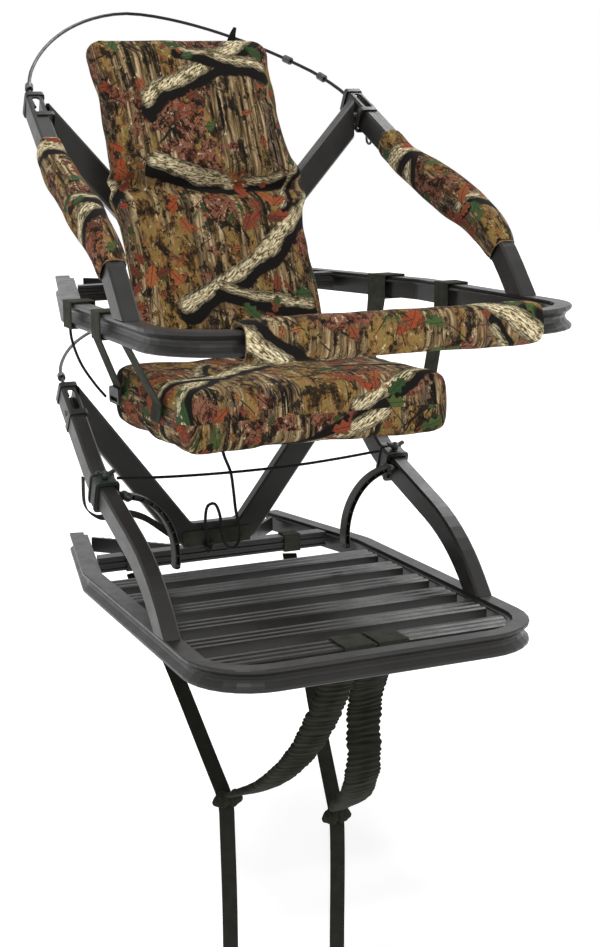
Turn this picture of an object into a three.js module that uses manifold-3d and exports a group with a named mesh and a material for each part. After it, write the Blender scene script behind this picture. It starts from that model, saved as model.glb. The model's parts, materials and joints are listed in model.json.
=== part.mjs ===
// Climbing tree stand: a foot platform and a seat climber, each held to the tree by a cable loop.
// Millimetres. X runs to the hunter's left-right, +Y points to the tree, +Z is up.
// The origin is the middle of the platform's tree bite, on the flat face that meets the bark.
import * as THREE from 'three';
import Module from 'manifold-3d';
import { mergeVertices } from 'three/addons/utils/BufferGeometryUtils.js';

// ---- driving dimensions -------------------------------------------------------------------
const GAP = 0.4;                 // clearance kept between neighbouring pieces
const RAIL_H = 31;               // height of the ring extrusion
const RAIL_W = 24;               // width of its top flange
const LIP = 30;                  // reach of the thin inner ledge, from the outer edge
const CORNER_EASE = 2.5;         // extra room at the ring's faceted corners
const PLATFORM = {
  top: 14, front: -638, halfFront: 252, halfRear: 244, bendY: -95,
  prongX: 189, prongY: 154, corner: 95, cableRise: 8, stops: [0.065, 0.935],
  armBase: -452, armX: 237, tipX: 233,
  armRise: [[-452, 0], [-393, 70.5], [-160, 154], [-8, 266]],
};
const SEAT = {
  top: 442, front: -655, halfFront: 302, halfRear: 294, bendY: -205,
  prongX: 195, prongY: 158, corner: 105, cableRise: 24, stops: [0.0975, 0.935],
  armBase: -474, armX: 287.5, tipX: 262,
  armRise: [[-474, 0], [-399, 89.1], [-150, 180], [8, 270]],
};
const ARM = { wide: 25, deep: 36, wall: 2.5, baseRadius: 275, tipRadius: 160 };
const BRACE = { deep: 22, wide: 40, wall: 2.2, y: -24, halfWeb: 50, radius: 34 };
const CROSSBAR = { front: -28, rear: -5.3, height: 24 };
const BITE = { halfFlat: 45, thick: 4.7, legX: 160, legY: 118, pitch: 12, tooth: 3 };
const SLAT = { count: 6, first: -566, pitch: 81, width: 46, height: 15, drop: 5, wall: 2.2, ribs: 3 };
const CABLE = { radius: 2.75, reach: 345, point: 1.45, narrow: 1.16, inside: 12, steps: 40 };
const WEBBING = { width: 25, thick: 2 };
const SEAT_PAD = { half: 203, front: -442, rear: -128, low: 253, high: 331 };
const BACK = { lean: 13, thick: 54, seamGap: 6, hingeY: -140, hingeZ: 346 };
const LOWER_BACK = { half: [150, 153], height: 242, skew: -21 };
const UPPER_BACK = { half: [151, 139], height: 226, skew: -22 };
const STIRRUPS = [
  { side: 'left', rearX: -136, frontX: -20, joinX: -82, joinY: -265, joinZ: -318, tail: -640,
    foot: [[-552, -25], [-537, -48], [-508, -105], [-456, -180], [-380, -250], [-279, -306]] },
  { side: 'right', rearX: 136, frontX: 30, joinX: 83, joinY: -300, joinZ: -361, tail: -650,
    foot: [[-549, -25], [-510, -56], [-470, -105], [-458, -155], [-458, -205], [-428, -262], [-315, -343]] },
];

// ---- materials ----------------------------------------------------------------------------
const finish = (color, roughness, metalness = 0) =>
  new THREE.MeshStandardMaterial({ color, roughness, metalness });
const PAINT = finish(0x3a3a38, 0.55, 0.4);
const STEEL = finish(0x9a9a98, 0.35, 0.9);
const CABLE_COAT = finish(0x141414, 0.5);
const GREEN_PLASTIC = finish(0x2e3a2c, 0.5);
const WEB = finish(0x33352a, 0.9);
const CAMO = finish(0x7a6248, 0.95);
const CORD = finish(0x111111, 0.8);

const stand = new THREE.Group();
const place = (name, geometry, material) => {
  const mesh = new THREE.Mesh(geometry, material);
  mesh.name = name;
  stand.add(mesh);
  return mesh;
};
const SIDES = [['left', -1], ['right', 1]];
const rad = THREE.MathUtils.degToRad;
const vec = (x, y, z) => new THREE.Vector3(x, y, z);

// ---- shape helpers ------------------------------------------------------------------------
const polygon = (points) => new THREE.Shape(points.map(([x, y]) => new THREE.Vector2(x, y)));

function rectangle(width, height) {
  const [w, h] = [width / 2, height / 2];
  return polygon([[-w, -h], [w, -h], [w, h], [-w, h]]);
}

function hollowRectangle(width, height, wall, bevel = 3) {
  const ring = (w, h, b) => [
    [-w + b, -h], [w - b, -h], [w, -h + b], [w, h - b], [w - b, h], [-w + b, h], [-w, h - b], [-w, -h + b],
  ];
  const shape = polygon(ring(width / 2, height / 2, bevel));
  const inner = ring(width / 2 - wall, height / 2 - wall, bevel / 2);
  shape.holes.push(new THREE.Path(inner.map(([x, y]) => new THREE.Vector2(x, y))));
  return shape;
}

function roundedRectangle(x0, x1, y0, y1, r, steps = 3) {
  const corners = [[x1 - r, y0 + r, -90], [x1 - r, y1 - r, 0], [x0 + r, y1 - r, 90], [x0 + r, y0 + r, 180]];
  return polygon(corners.flatMap(([x, y, from]) => Array.from({ length: steps + 1 }, (_, i) => {
    const a = rad(from + (90 * i) / steps);
    return [x + r * Math.cos(a), y + r * Math.sin(a)];
  })));
}

const disc = (radius, sides = 8) => polygon(Array.from({ length: sides }, (_, i) => {
  const a = (2 * Math.PI * i) / sides;
  return [radius * Math.cos(a), radius * Math.sin(a)];
}));

// A shape drawn in the plane across an axis, extruded along that axis between two places.
const BASIS = {
  x: [vec(0, 1, 0), vec(0, 0, 1), vec(1, 0, 0)],     // shape (u, v) -> (y, z)
  y: [vec(-1, 0, 0), vec(0, 0, 1), vec(0, 1, 0)],    // shape (u, v) -> (-x, z)
  z: [vec(1, 0, 0), vec(0, 1, 0), vec(0, 0, 1)],     // shape (u, v) -> (x, y)
};
function prism(shape, axis, from, to, curveSegments = 4) {
  const geometry = new THREE.ExtrudeGeometry(shape, { depth: to - from, bevelEnabled: false, curveSegments });
  geometry.translate(0, 0, from);
  return geometry.applyMatrix4(new THREE.Matrix4().makeBasis(...BASIS[axis]));
}

// A polyline whose corners are rounded by arcs, sampled only where it bends.
class RoundedRoute extends THREE.Curve {
  constructor(corners, radii, step = 12) {
    super();
    this.stations = [];
    const last = corners.length - 1;
    const along = (i) => corners[i + 1].clone().sub(corners[i]).normalize();
    this.stations.push([corners[0], along(0)]);
    for (let i = 1; i < last; i += 1) {
      const [a, b] = [along(i - 1), along(i)];
      const turn = a.angleTo(b);
      const radius = Array.isArray(radii) ? radii[i - 1] : radii;
      const start = corners[i].clone().addScaledVector(a, -radius * Math.tan(turn / 2));
      const inward = b.clone().addScaledVector(a, -a.dot(b)).normalize();
      const count = Math.max(2, Math.ceil(THREE.MathUtils.radToDeg(turn) / step));
      for (let k = 0; k <= count; k += 1) {
        const t = (turn * k) / count;
        const point = start.clone().addScaledVector(a, radius * Math.sin(t));
        point.addScaledVector(inward, radius * (1 - Math.cos(t)));
        const tangent = a.clone().multiplyScalar(Math.cos(t)).addScaledVector(inward, Math.sin(t));
        this.stations.push([point, tangent]);
      }
    }
    this.stations.push([corners[last], along(last - 1)]);
    this.steps = this.stations.length - 1;
  }
  // Keeps only the stretch between two places along Y.
  clipped(from, to) {
    const endAt = (y) => {
      const k = this.stations.findIndex(([p]) => p.y >= y);
      const [[a, tangentA], [b, tangentB]] = [this.stations[k - 1], this.stations[k]];
      const share = (y - a.y) / (b.y - a.y);
      return [a.clone().lerp(b, share), tangentA.clone().lerp(tangentB, share).normalize()];
    };
    const kept = this.stations.filter(([p]) => p.y > from + 2 && p.y < to - 2);
    this.stations = [endAt(from), ...kept, endAt(to)];
    this.steps = this.stations.length - 1;
    return this;
  }
  getPointAt(u) { return this.stations[Math.round(u * this.steps)][0].clone(); }
  getTangentAt(u) { return this.stations[Math.round(u * this.steps)][1].clone(); }
}

const sweep = (section, route, steps = route.steps, curveSegments = 3) =>
  new THREE.ExtrudeGeometry(section, { extrudePath: route, steps, bevelEnabled: false, curveSegments });

const cordRoute = (points) => new THREE.CatmullRomCurve3(points.map((p) => vec(...p)), false, 'centripetal');

// Moves each vertex by a rule, such as a slanted end cut or a sideways lean.
function reshape(geometry, rule) {
  const position = geometry.attributes.position;
  for (let i = 0; i < position.count; i += 1) {
    const p = vec(position.getX(i), position.getY(i), position.getZ(i));
    rule(p);
    position.setXYZ(i, p.x, p.y, p.z);
  }
  return geometry;
}

// Boolean cut of one closed body by another.
const wasm = await Module();
wasm.setup();
function solid(geometry) {
  const bare = geometry.clone();
  bare.deleteAttribute('normal');
  bare.deleteAttribute('uv');
  const merged = mergeVertices(bare, 1e-4);
  return new wasm.Manifold(new wasm.Mesh({
    numProp: 3,
    vertProperties: new Float32Array(merged.attributes.position.array),
    triVerts: new Uint32Array(merged.index.array),
  }));
}
function cut(geometry, ...tools) {
  let body = solid(geometry);
  for (const tool of tools) body = body.subtract(solid(tool));
  const mesh = body.getMesh();
  const result = new THREE.BufferGeometry();
  result.setAttribute('position', new THREE.BufferAttribute(new Float32Array(mesh.vertProperties), 3));
  result.setIndex(new THREE.BufferAttribute(new Uint32Array(mesh.triVerts), 1));
  return result;
}

// ---- ring frames --------------------------------------------------------------------------
// The ring extrusion: depth below the top face, and distance inward from the outer edge.
const RAIL_SECTION = (() => {
  const shape = polygon([
    [1.5, 0], [5, 0.4], [8, 4], [11.5, 7.6], [15.5, 9], [19.5, 7.6], [23, 4], [26, 0.4], [29.5, 0],
    [RAIL_H, 1.5], [RAIL_H, RAIL_W], [7, RAIL_W], [7, LIP], [4.5, LIP], [4.5, RAIL_W - 1],
    [0, RAIL_W - 1], [0, 1.5],
  ]);
  const hollow = [[2.5, 4], [6.5, 6.6], [11, 10.6], [15.5, 12], [20, 10.6], [24.5, 6.6], [28.5, 4],
    [28.5, RAIL_W - 2.5], [2.5, RAIL_W - 3.5]];
  shape.holes.push(new THREE.Path(hollow.map(([x, y]) => new THREE.Vector2(x, y))));
  return shape;
})();

function ringFrame(unit) {
  const z = unit.top;
  const corners = [
    vec(-unit.prongX, unit.prongY, z), vec(-unit.halfRear, unit.bendY, z),
    vec(-unit.halfFront, unit.front, z), vec(unit.halfFront, unit.front, z),
    vec(unit.halfRear, unit.bendY, z), vec(unit.prongX, unit.prongY, z),
  ];
  return sweep(RAIL_SECTION, new RoundedRoute(corners, [70, unit.corner, unit.corner, 70]));
}

// Half-width left inside the ring's ledge at a given place along Y.
function innerReach(unit, y) {
  const inset = LIP + GAP;
  const centreY = unit.front + unit.corner;
  if (y < centreY) {
    const r = unit.corner - inset;
    return unit.halfFront - unit.corner - CORNER_EASE + Math.sqrt(Math.max(0, r * r - (y - centreY) ** 2));
  }
  const straight = unit.halfFront + ((y - unit.front) * (unit.halfRear - unit.halfFront)) / (unit.bendY - unit.front);
  const slope = (unit.halfRear - unit.prongX) / (unit.prongY - unit.bendY);
  const prong = unit.halfRear - (y - unit.bendY) * slope;
  const inward = y < unit.bendY ? inset + 0.3 : inset * Math.hypot(1, slope) + 0.5;
  return Math.min(straight, prong) - inward;
}

const meetRails = (unit, geometry) => reshape(geometry, (p) => {
  p.x = Math.sign(p.x) * innerReach(unit, p.y);
});

// ---- standing slats, crossbars and tree bites ---------------------------------------------
function slatSection(centreY, top) {
  const [half, low] = [SLAT.width / 2, top - SLAT.height];
  const outline = [[centreY - half, low], [centreY - half + SLAT.wall, low],
    [centreY - half + SLAT.wall, top - 3.4], [centreY + half - SLAT.wall, top - 3.4],
    [centreY + half - SLAT.wall, low], [centreY + half, low], [centreY + half, top - 1.4]];
  const pitch = SLAT.width / SLAT.ribs;
  for (let i = 0; i < SLAT.ribs; i += 1) {
    const y = centreY + half - pitch * i;
    outline.push([y - pitch * 0.3, top], [y - pitch * 0.7, top], [y - pitch, top - 1.4]);
  }
  return polygon(outline);
}

for (let i = 0; i < SLAT.count; i += 1) {
  const section = slatSection(SLAT.first + SLAT.pitch * i, PLATFORM.top - SLAT.drop);
  place(`platform_slat_${i + 1}`, meetRails(PLATFORM, prism(section, 'x', -200, 200)), PAINT);
}

function crossbar(unit) {
  const { front, rear, height } = CROSSBAR;
  const [top, low] = [unit.top, unit.top - height];
  const groove = (z) => [[front, z - 3.5], [front + 2.5, z - 2], [front + 2.5, z + 2], [front, z + 3.5]];
  const outline = polygon([
    [front, low], ...groove(low + 7), ...groove(top - 7), [front, top], [rear, top], [rear, low],
  ].reverse());
  return meetRails(unit, prism(outline, 'x', -180, 180));
}

// A bent bar: a flat middle that meets the bark, and toothed legs that reach back to the prongs.
function treeBite(unit) {
  const { halfFlat, thick, legX, legY, pitch, tooth } = BITE;
  const side = Math.atan2(legY, legX - halfFlat);
  const length = Math.hypot(legX - halfFlat, legY);
  const shift = unit === SEAT ? 2 : 0;
  const onLeg = (s, lift) => [
    halfFlat + s * Math.cos(side) - lift * Math.sin(side), s * Math.sin(side) + lift * Math.cos(side),
  ];
  const right = [[halfFlat, 0]];
  const teeth = Math.floor((length - 20 - shift) / pitch);
  for (let i = 0; i < teeth; i += 1) {
    right.push(onLeg(8 + i * pitch, 0), onLeg(8 + (i + 0.5) * pitch, tooth));
  }
  right.push(onLeg(8 + teeth * pitch, 0), onLeg(length - shift, 0), onLeg(length - shift, -thick));
  right.push([halfFlat + thick * Math.tan(side / 2), -thick]);
  const left = right.map(([x, y]) => [-x, y]).reverse();
  return prism(polygon([...left, ...right].reverse()), 'z', unit.top - 26, unit.top - 2);
}

// ---- arms, braces and cables --------------------------------------------------------------
const toeIn = (unit, p, sign) => {
  const last = unit.armRise.length - 1;
  const along = Math.max(0, (p.y - unit.armBase) / (unit.armRise[last][0] - unit.armBase));
  return sign * (unit.armX + (unit.tipX - unit.armX) * along ** 2);
};

const armCorners = (unit) => unit.armRise.map(([y, z]) => vec(0, y, z + unit.top + GAP));
const armRoute = (unit) => new RoundedRoute(armCorners(unit), [ARM.baseRadius, ARM.tipRadius], 5);

function armTube(unit, sign) {
  const corners = armCorners(unit);
  const route = armRoute(unit);
  // The route's normal is the -X direction, so the section's first axis is the tube's width.
  const tube = sweep(hollowRectangle(ARM.wide, ARM.deep, ARM.wall), route);
  const [base, next] = [corners[0], corners[1]];
  const heading = next.clone().sub(base).normalize();
  reshape(tube, (p) => {
    const off = p.clone().sub(base).dot(heading);
    if (Math.abs(off) < 1e-3) p.addScaledVector(heading, (base.z - p.z) / heading.z);
  });
  // An oblong slot through the upper wall near the tip, where the cable end is pinned.
  const tip = corners[corners.length - 1];
  const rise = tip.clone().sub(corners[corners.length - 2]).normalize();
  const slot = prism(roundedRectangle(-6, 6, -58, -14, 5.9), 'z', 0, 40);
  slot.applyMatrix4(new THREE.Matrix4().makeBasis(vec(1, 0, 0), rise, vec(0, -rise.z, rise.y)));
  slot.translate(tip.x, tip.y, tip.z);
  return reshape(cut(tube, slot), (p) => { p.x += toeIn(unit, p, sign); });
}

function armTip(unit, sign) {
  const [y, z] = unit.armRise[unit.armRise.length - 1];
  return vec(sign * unit.tipX, y, z + unit.top + GAP);
}

const tipHeading = (unit) => {
  const [[y0, z0], [y1, z1]] = unit.armRise.slice(-2);
  return vec(0, y1 - y0, z1 - z0).normalize();
};

// The bent tube from one arm tip, down to the web behind the crossbar, and up to the other tip.
function vBrace(unit) {
  const tip = armTip(unit, 1);
  const heading = tipHeading(unit);
  const along = (BRACE.y - tip.y) / heading.y;
  const reach = tip.x - ARM.wide / 2 - GAP - 0.4;
  const high = tip.z + along * heading.z - 12;
  const low = unit.top + GAP + BRACE.wide / 2;
  const corners = [vec(-reach, BRACE.y, high), vec(-BRACE.halfWeb, BRACE.y, low),
    vec(BRACE.halfWeb, BRACE.y, low), vec(reach, BRACE.y, high)];
  const route = new RoundedRoute(corners, BRACE.radius, 14);
  const tube = sweep(hollowRectangle(BRACE.deep, BRACE.wide, BRACE.wall), route);
  const leg = corners[3].clone().sub(corners[2]).normalize();
  return reshape(tube, (p) => {
    const side = Math.sign(p.x);
    const off = (side * p.x - reach) * leg.x + (p.z - high) * leg.z;
    if (Math.abs(off) < 1e-3) {
      const slide = (reach - side * p.x) / leg.x;
      p.x += side * slide * leg.x;
      p.z += slide * leg.z;
    }
  });
}

function cableLoop(unit) {
  const tip = armTip(unit, 1);
  const heading = tipHeading(unit);
  const start = tip.clone().addScaledVector(heading, -CABLE.inside);
  const points = [start, tip.clone().addScaledVector(heading, 14)];
  for (let deg = 20; deg <= 160; deg += 10) {
    const back = CABLE.reach * Math.sin(rad(deg)) ** CABLE.point;
    const across = Math.sign(Math.cos(rad(deg))) * Math.abs(Math.cos(rad(deg))) ** CABLE.narrow;
    points.push(vec(
      tip.x * across, tip.y + 10 + back * Math.cos(rad(unit.cableRise)),
      tip.z + 10 + back * Math.sin(rad(unit.cableRise)),
    ));
  }
  const far = armTip(unit, -1);
  points.push(far.clone().addScaledVector(heading, 14), far.clone().addScaledVector(heading, -CABLE.inside));
  return new THREE.CatmullRomCurve3(points, false, 'centripetal');
}

// A crimped sleeve around the cable, at a share of the cable's length.
function crimp(route, at, length = 16, radius = 6.3) {
  const bore = CABLE.radius + 2 * GAP;
  const profile = [[bore, -length / 2], [radius - 1, -length / 2], [radius, -length / 2 + 1],
    [radius, length / 2 - 1], [radius - 1, length / 2], [bore, length / 2], [bore, -length / 2]];
  const sleeve = new THREE.LatheGeometry(profile.map(([r, y]) => new THREE.Vector2(r, y)), 12);
  const turn = new THREE.Quaternion().setFromUnitVectors(vec(0, 1, 0), route.getTangentAt(at));
  const centre = route.getPointAt(at);
  return sleeve.applyQuaternion(turn).translate(centre.x, centre.y, centre.z);
}

// The retainer: a pin across the arm tip and a short lever that snaps over it.
function retainer(unit, name) {
  const tip = armTip(unit, 1);
  const heading = tipHeading(unit);
  const pivot = tip.clone().addScaledVector(heading, -30);
  const outer = toeIn(unit, pivot, 1) + ARM.wide / 2 + 1.6;
  const pin = new THREE.LatheGeometry([[0, 0], [7, 0], [7, 3], [3.6, 4], [3.6, 13], [0, 13]]
    .map(([r, y]) => new THREE.Vector2(r, y)), 16);
  pin.rotateZ(-Math.PI / 2).translate(outer, pivot.y, pivot.z);
  place(`${name}_lever_pin`, pin, STEEL);
  const plate = roundedRectangle(-8, 56, -8, 8, 7.5);
  const hole = new THREE.Path();
  hole.absarc(0, 0, 4.1, 0, 2 * Math.PI, true);
  plate.holes.push(hole);
  const lever = prism(plate, 'x', 0, 4, 5).rotateX(Math.PI + Math.atan2(heading.z, heading.y));
  lever.translate(outer + 5, pivot.y, pivot.z);
  place(`${name}_lever`, lever, STEEL);
}

for (const [name, unit] of [['platform', PLATFORM], ['seat', SEAT]]) {
  place(`${name}_ring`, ringFrame(unit), PAINT);
  place(`${name}_crossbar`, crossbar(unit), PAINT);
  place(`${name}_tree_bite`, treeBite(unit), PAINT);
  place(`${name}_v_brace`, vBrace(unit), PAINT);
  for (const [side, sign] of SIDES) place(`${name}_arm_${side}`, armTube(unit, sign), PAINT);
  const loop = cableLoop(unit);
  place(`${name}_cable`, sweep(disc(CABLE.radius), loop, CABLE.steps), CABLE_COAT);
  SIDES.forEach(([side], i) => place(`${name}_cable_stop_${side}`, crimp(loop, unit.stops[1 - i]), STEEL));
  retainer(unit, name);
}
place('seat_cable_stop_middle', crimp(cableLoop(SEAT), 0.18), STEEL);

// ---- arm clamps with foot hooks -----------------------------------------------------------
const CLAMP = { y: -190, half: 15, wall: 3.6 };

// Arm centre height at a place along Y, on the straight run between the two bends.
function armHeight(unit, y) {
  const [[y0, z0], [y1, z1]] = unit.armRise.slice(1, 3);
  return unit.top + GAP + z0 + ((y - y0) * (z1 - z0)) / (y1 - y0);
}

function armSleeveFrame(unit, y, sign) {
  const [[y0, z0], [y1, z1]] = unit.armRise.slice(1, 3);
  const tilt = Math.atan2(z1 - z0, y1 - y0);
  return new THREE.Matrix4().makeTranslation(toeIn(unit, vec(0, y, 0), sign), y, armHeight(unit, y))
    .multiply(new THREE.Matrix4().makeRotationX(tilt));
}

for (const [side, sign] of SIDES) {
  const frame = armSleeveFrame(PLATFORM, CLAMP.y, sign);
  const [w, h] = [ARM.wide / 2 + 0.8, ARM.deep / 2 + 1.2];
  const sleeve = roundedRectangle(-w - CLAMP.wall, w + CLAMP.wall, -h - CLAMP.wall, h + CLAMP.wall, 4);
  sleeve.holes.push(new THREE.Path([[-w, -h], [-w, h], [w, h], [w, -h]].map(([x, y]) => new THREE.Vector2(x, y))));
  const clamp = prism(sleeve, 'y', -CLAMP.half, CLAMP.half);
  place(`clamp_${side}`, clamp.applyMatrix4(frame), GREEN_PLASTIC);
  // Wing knob on top of the clamp: a hub with two wings, turned about the clamp's own normal.
  const wings = roundedRectangle(-15, 15, -4, 4, 3.8);
  const knob = prism(wings, 'z', h + CLAMP.wall + 0.5, h + CLAMP.wall + 12.5);
  place(`wing_knob_${side}`, knob.applyMatrix4(frame), GREEN_PLASTIC);
}

// Hook: a ribbed quarter bow that swings on the clamp's inner face.
const HOOK = { y: -222, wide: 20, thick: 8, rootX: 218, drop: 98, reach: 80, rootZ: 156 };
for (const [side, sign] of SIDES) {
  const points = [];
  for (let deg = 0; deg <= 100; deg += 10) {
    points.push(vec(
      sign * (HOOK.rootX - HOOK.reach * Math.sin(rad(deg))), HOOK.y,
      HOOK.rootZ - HOOK.drop * (1 - Math.cos(rad(deg))),
    ));
  }
  const bow = new THREE.CatmullRomCurve3(points);
  place(`hook_${side}`, sweep(rectangle(HOOK.wide, HOOK.thick), bow, 12), GREEN_PLASTIC);
}

// ---- webbing on the platform --------------------------------------------------------------
const bandFront = BRACE.y - BRACE.deep / 2 - GAP;
place('web_band', prism(roundedRectangle(-58, 58, PLATFORM.top + 4, PLATFORM.top + 29, 1), 'y',
  bandFront - 1.6, bandFront), WEB);

function wrapAround(x, width, y0, y1, z0, z1) {
  const t = WEBBING.thick;
  const loop = roundedRectangle(y0 - t - GAP, y1 + t + GAP, z0 - t - GAP, z1 + t + GAP, t * 0.75);
  const inner = [[y0 - GAP, z0 - GAP], [y0 - GAP, z1 + GAP], [y1 + GAP, z1 + GAP], [y1 + GAP, z0 - GAP]];
  loop.holes.push(new THREE.Path(inner.map(([u, v]) => new THREE.Vector2(u, v))));
  return prism(loop, 'x', x - width / 2, x + width / 2);
}

const slatTop = PLATFORM.top - SLAT.drop;
const slatLow = slatTop - SLAT.height;
const barLow = PLATFORM.top - CROSSBAR.height;
const ELASTIC = { wide: 40, thick: 12 };
const SWING_ROOM = 7;            // a hanging strap starts this far below its wrap
for (const s of STIRRUPS) {
  place(`crossbar_wrap_${s.side}`, wrapAround(s.rearX, WEBBING.width + 3, CROSSBAR.front, CROSSBAR.rear,
    barLow, PLATFORM.top), WEB);
  place(`slat_wrap_${s.side}`, wrapAround(s.frontX, 44, SLAT.first - SLAT.width / 2,
    SLAT.first + SLAT.width / 2, slatLow, slatTop), WEB);
  const rearY = (CROSSBAR.front + CROSSBAR.rear) / 2;
  const strapTop = barLow - WEBBING.thick - SWING_ROOM;
  const strap = new RoundedRoute([vec(0, rearY, strapTop), vec(0, s.joinY, s.joinZ),
    vec(0, s.joinY - 1, s.tail)], 30, 10);
  const lean = (s.rearX - s.joinX) / (rearY - s.joinY);
  const strapShape = rectangle(WEBBING.width, WEBBING.thick);
  place(`stirrup_strap_${s.side}`, reshape(sweep(strapShape, strap), (p) => {
    p.x += s.joinX + Math.max(0, p.y - s.joinY) * lean;
  }), WEB);
  const foot = cordRoute(s.foot.map(([y, z]) => [0, y, z]));
  const drift = (s.frontX - s.joinX) / (SLAT.first - s.joinY);
  place(`stirrup_elastic_${s.side}`, reshape(sweep(rectangle(ELASTIC.wide, ELASTIC.thick), foot, 18), (p) => {
    p.x += s.joinX + (p.y - s.joinY) * drift;
  }), WEB);
}

// ---- cords --------------------------------------------------------------------------------
const BUNGEE_R = 2.2;
place('bungee_cord', sweep(disc(BUNGEE_R), cordRoute([
  [-214, -188, 176], [-150, -188, 171], [-75, -188, 168], [0, -188, 167], [75, -188, 168],
  [150, -188, 172], [214, -188, 177],
]), 20), CORD);
const TETHER_R = 2.5;
place('tether_cord', sweep(disc(TETHER_R), cordRoute([
  [-6, -46, 414], [-8, -50, 385], [-7, -52, 340], [-5, -52, 290], [-3, -51, 240], [2, -50, 200], [10, -48, 165],
  [22, -46, 135], [27, -44, 105], [31, -43, 70], [37, -43, 42], [36, -44, 22], [25, -46, 10], [12, -46, 16],
  [5, -44, 38], [3, -44, 66], [-6, -44, 86], [-17, -44, 84], [-22, -44, 64], [-20, -43, 40], [-17, -42, 22],
]), 50), CORD);

// A slack webbing tail runs from the web band, under the left arm, to the left clamp.
place('loose_strap', sweep(rectangle(2.4, 12), cordRoute([
  [-64, -39, 31], [-97, -47, 56], [-130, -62, 80], [-168, -92, 98], [-205, -130, 106], [-240, -164, 116],
  [-260, -176, 136], [-262, -176, 180],
]), 24), WEB);

// ---- padded covers ------------------------------------------------------------------------
function sleeveBody(outer, inner) {
  const shape = roundedRectangle(...outer);
  shape.holes.push(new THREE.Path(roundedRectangle(...inner).getPoints()));
  return shape;
}

const COVER = { from: -424, to: -104, side: 8, under: 6, over: 8 };
function armCover(sign) {
  const route = armRoute(SEAT).clipped(COVER.from, COVER.to);
  const [w, h] = [ARM.wide / 2 + 1, ARM.deep / 2 + 1];
  const section = sleeveBody([-w - COVER.side, w + COVER.side, -h - COVER.under, h + COVER.over, 12], [-w, w, -h, h, 1]);
  return reshape(sweep(section, route), (p) => { p.x += toeIn(SEAT, p, sign); });
}
for (const [side, sign] of SIDES) place(`armrest_cover_${side}`, armCover(sign), CAMO);

const BAR_COVER = { half: 205, over: 13, under: 13, front: 12, rear: 10 };
const barSection = sleeveBody(
  [SEAT.front - BAR_COVER.front, SEAT.front + LIP + BAR_COVER.rear, SEAT.top - RAIL_H - BAR_COVER.under,
    SEAT.top + BAR_COVER.over, 14],
  [SEAT.front - 0.8, SEAT.front + LIP + 1.6, SEAT.top - RAIL_H - 0.8, SEAT.top + 0.8, 1],
);
place('front_bar_cover', prism(barSection, 'x', -BAR_COVER.half, BAR_COVER.half), CAMO);

// ---- seat ---------------------------------------------------------------------------------
place('seat_pad', prism(roundedRectangle(-SEAT_PAD.half, SEAT_PAD.half, SEAT_PAD.front, SEAT_PAD.rear, 38), 'z',
  SEAT_PAD.low, SEAT_PAD.high), CAMO);

// A back panel stands on its hinge line, narrows by its half-widths and drifts sideways by its skew.
function backPanel(panel, lift, startX) {
  const [low, high] = panel.half;
  const [h, t] = [panel.height, BACK.thick / 2];
  const outline = polygon([[startX - low, lift], [startX + low, lift], [startX + panel.skew + high, lift + h],
    [startX + panel.skew - high, lift + h]]);
  const slab = prism(polygon(outline.getPoints().map((p) => [-p.x, p.y]).reverse()), 'y', -t, t);
  return slab.rotateX(-rad(BACK.lean)).translate(0, BACK.hingeY, BACK.hingeZ);
}
place('back_lower', backPanel(LOWER_BACK, 0, -4), CAMO);
place('back_upper', backPanel(UPPER_BACK, LOWER_BACK.height + BACK.seamGap, -4 + LOWER_BACK.skew), CAMO);

// Suspension straps: a loop over the side rail, and a run down to the seat pad's edge.
const STRAP_W = 36;
const SUSPENSION = [
  ['rear_left', -1, -250, -175], ['front_left', -1, -385, -345],
  ['rear_right', 1, -128, -172], ['front_right', 1, -290, -362],
];
function suspensionStrap(sign, y, footY) {
  const t = WEBBING.thick;
  const slope = (innerReach(SEAT, y - 1) - innerReach(SEAT, y + 1)) / 2;
  const play = 1.2;
  const railX = innerReach(SEAT, y) + LIP + GAP + 1;
  const [outer, inner] = [railX + play + t, railX - LIP - play - t];
  const [top, low] = [SEAT.top + play + t, SEAT.top - RAIL_H - play - t];
  const foot = SEAT_PAD.half + GAP;
  const [footTop, footLow] = [SEAT_PAD.high - 22, SEAT_PAD.high - 48];
  const mirror = (points) => points.map(([u, v]) => new THREE.Vector2(-sign * u, v));
  const shape = new THREE.Shape(mirror([
    [outer, top], [inner, top], [inner, low], [foot, footTop], [foot, footLow], [foot + t, footLow],
    [foot + t, footTop], [inner + t, low], [outer, low],
  ]));
  shape.holes.push(new THREE.Path(mirror([
    [outer - t, top - t], [outer - t, low + t], [inner + t, low + t], [inner + t, top - t],
  ])));
  const strap = prism(shape, 'y', y - STRAP_W / 2, y + STRAP_W / 2);
  return reshape(strap, (p) => {
    if (p.z > low - 1) p.x -= sign * (p.y - y) * slope;
    else p.y += ((low - p.z) / (low - footTop)) * (footY - y);
  });
}
for (const [name, sign, y, footY] of SUSPENSION) {
  place(`seat_strap_${name}`, suspensionStrap(sign, y, footY), WEB);
}

// Ladder-lock buckles on the rear straps, and the thin cord that steadies the seat's left corner.
for (const [name, sign, , footY] of SUSPENSION.filter(([label]) => label.startsWith('rear'))) {
  const plate = roundedRectangle(footY - 21, footY + 21, SEAT_PAD.high - 47, SEAT_PAD.high - 23, 4);
  const window = roundedRectangle(footY - 16, footY + 16, SEAT_PAD.high - 43, SEAT_PAD.high - 37, 1);
  plate.holes.push(window);
  const outside = SEAT_PAD.half + 2 * GAP + WEBBING.thick;
  const [from, to] = sign < 0 ? [-outside - 5, -outside] : [outside, outside + 5];
  place(`strap_buckle_${name.slice(5)}`, prism(plate, 'x', from, to, 2), GREEN_PLASTIC);
}
place('side_cord', sweep(disc(2), cordRoute([
  [-284, -214, 408], [-282, -213, 388], [-268, -205, 352], [-244, -192, 318], [-224, -178, 296],
]), 16), CORD);

export default stand;
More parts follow.
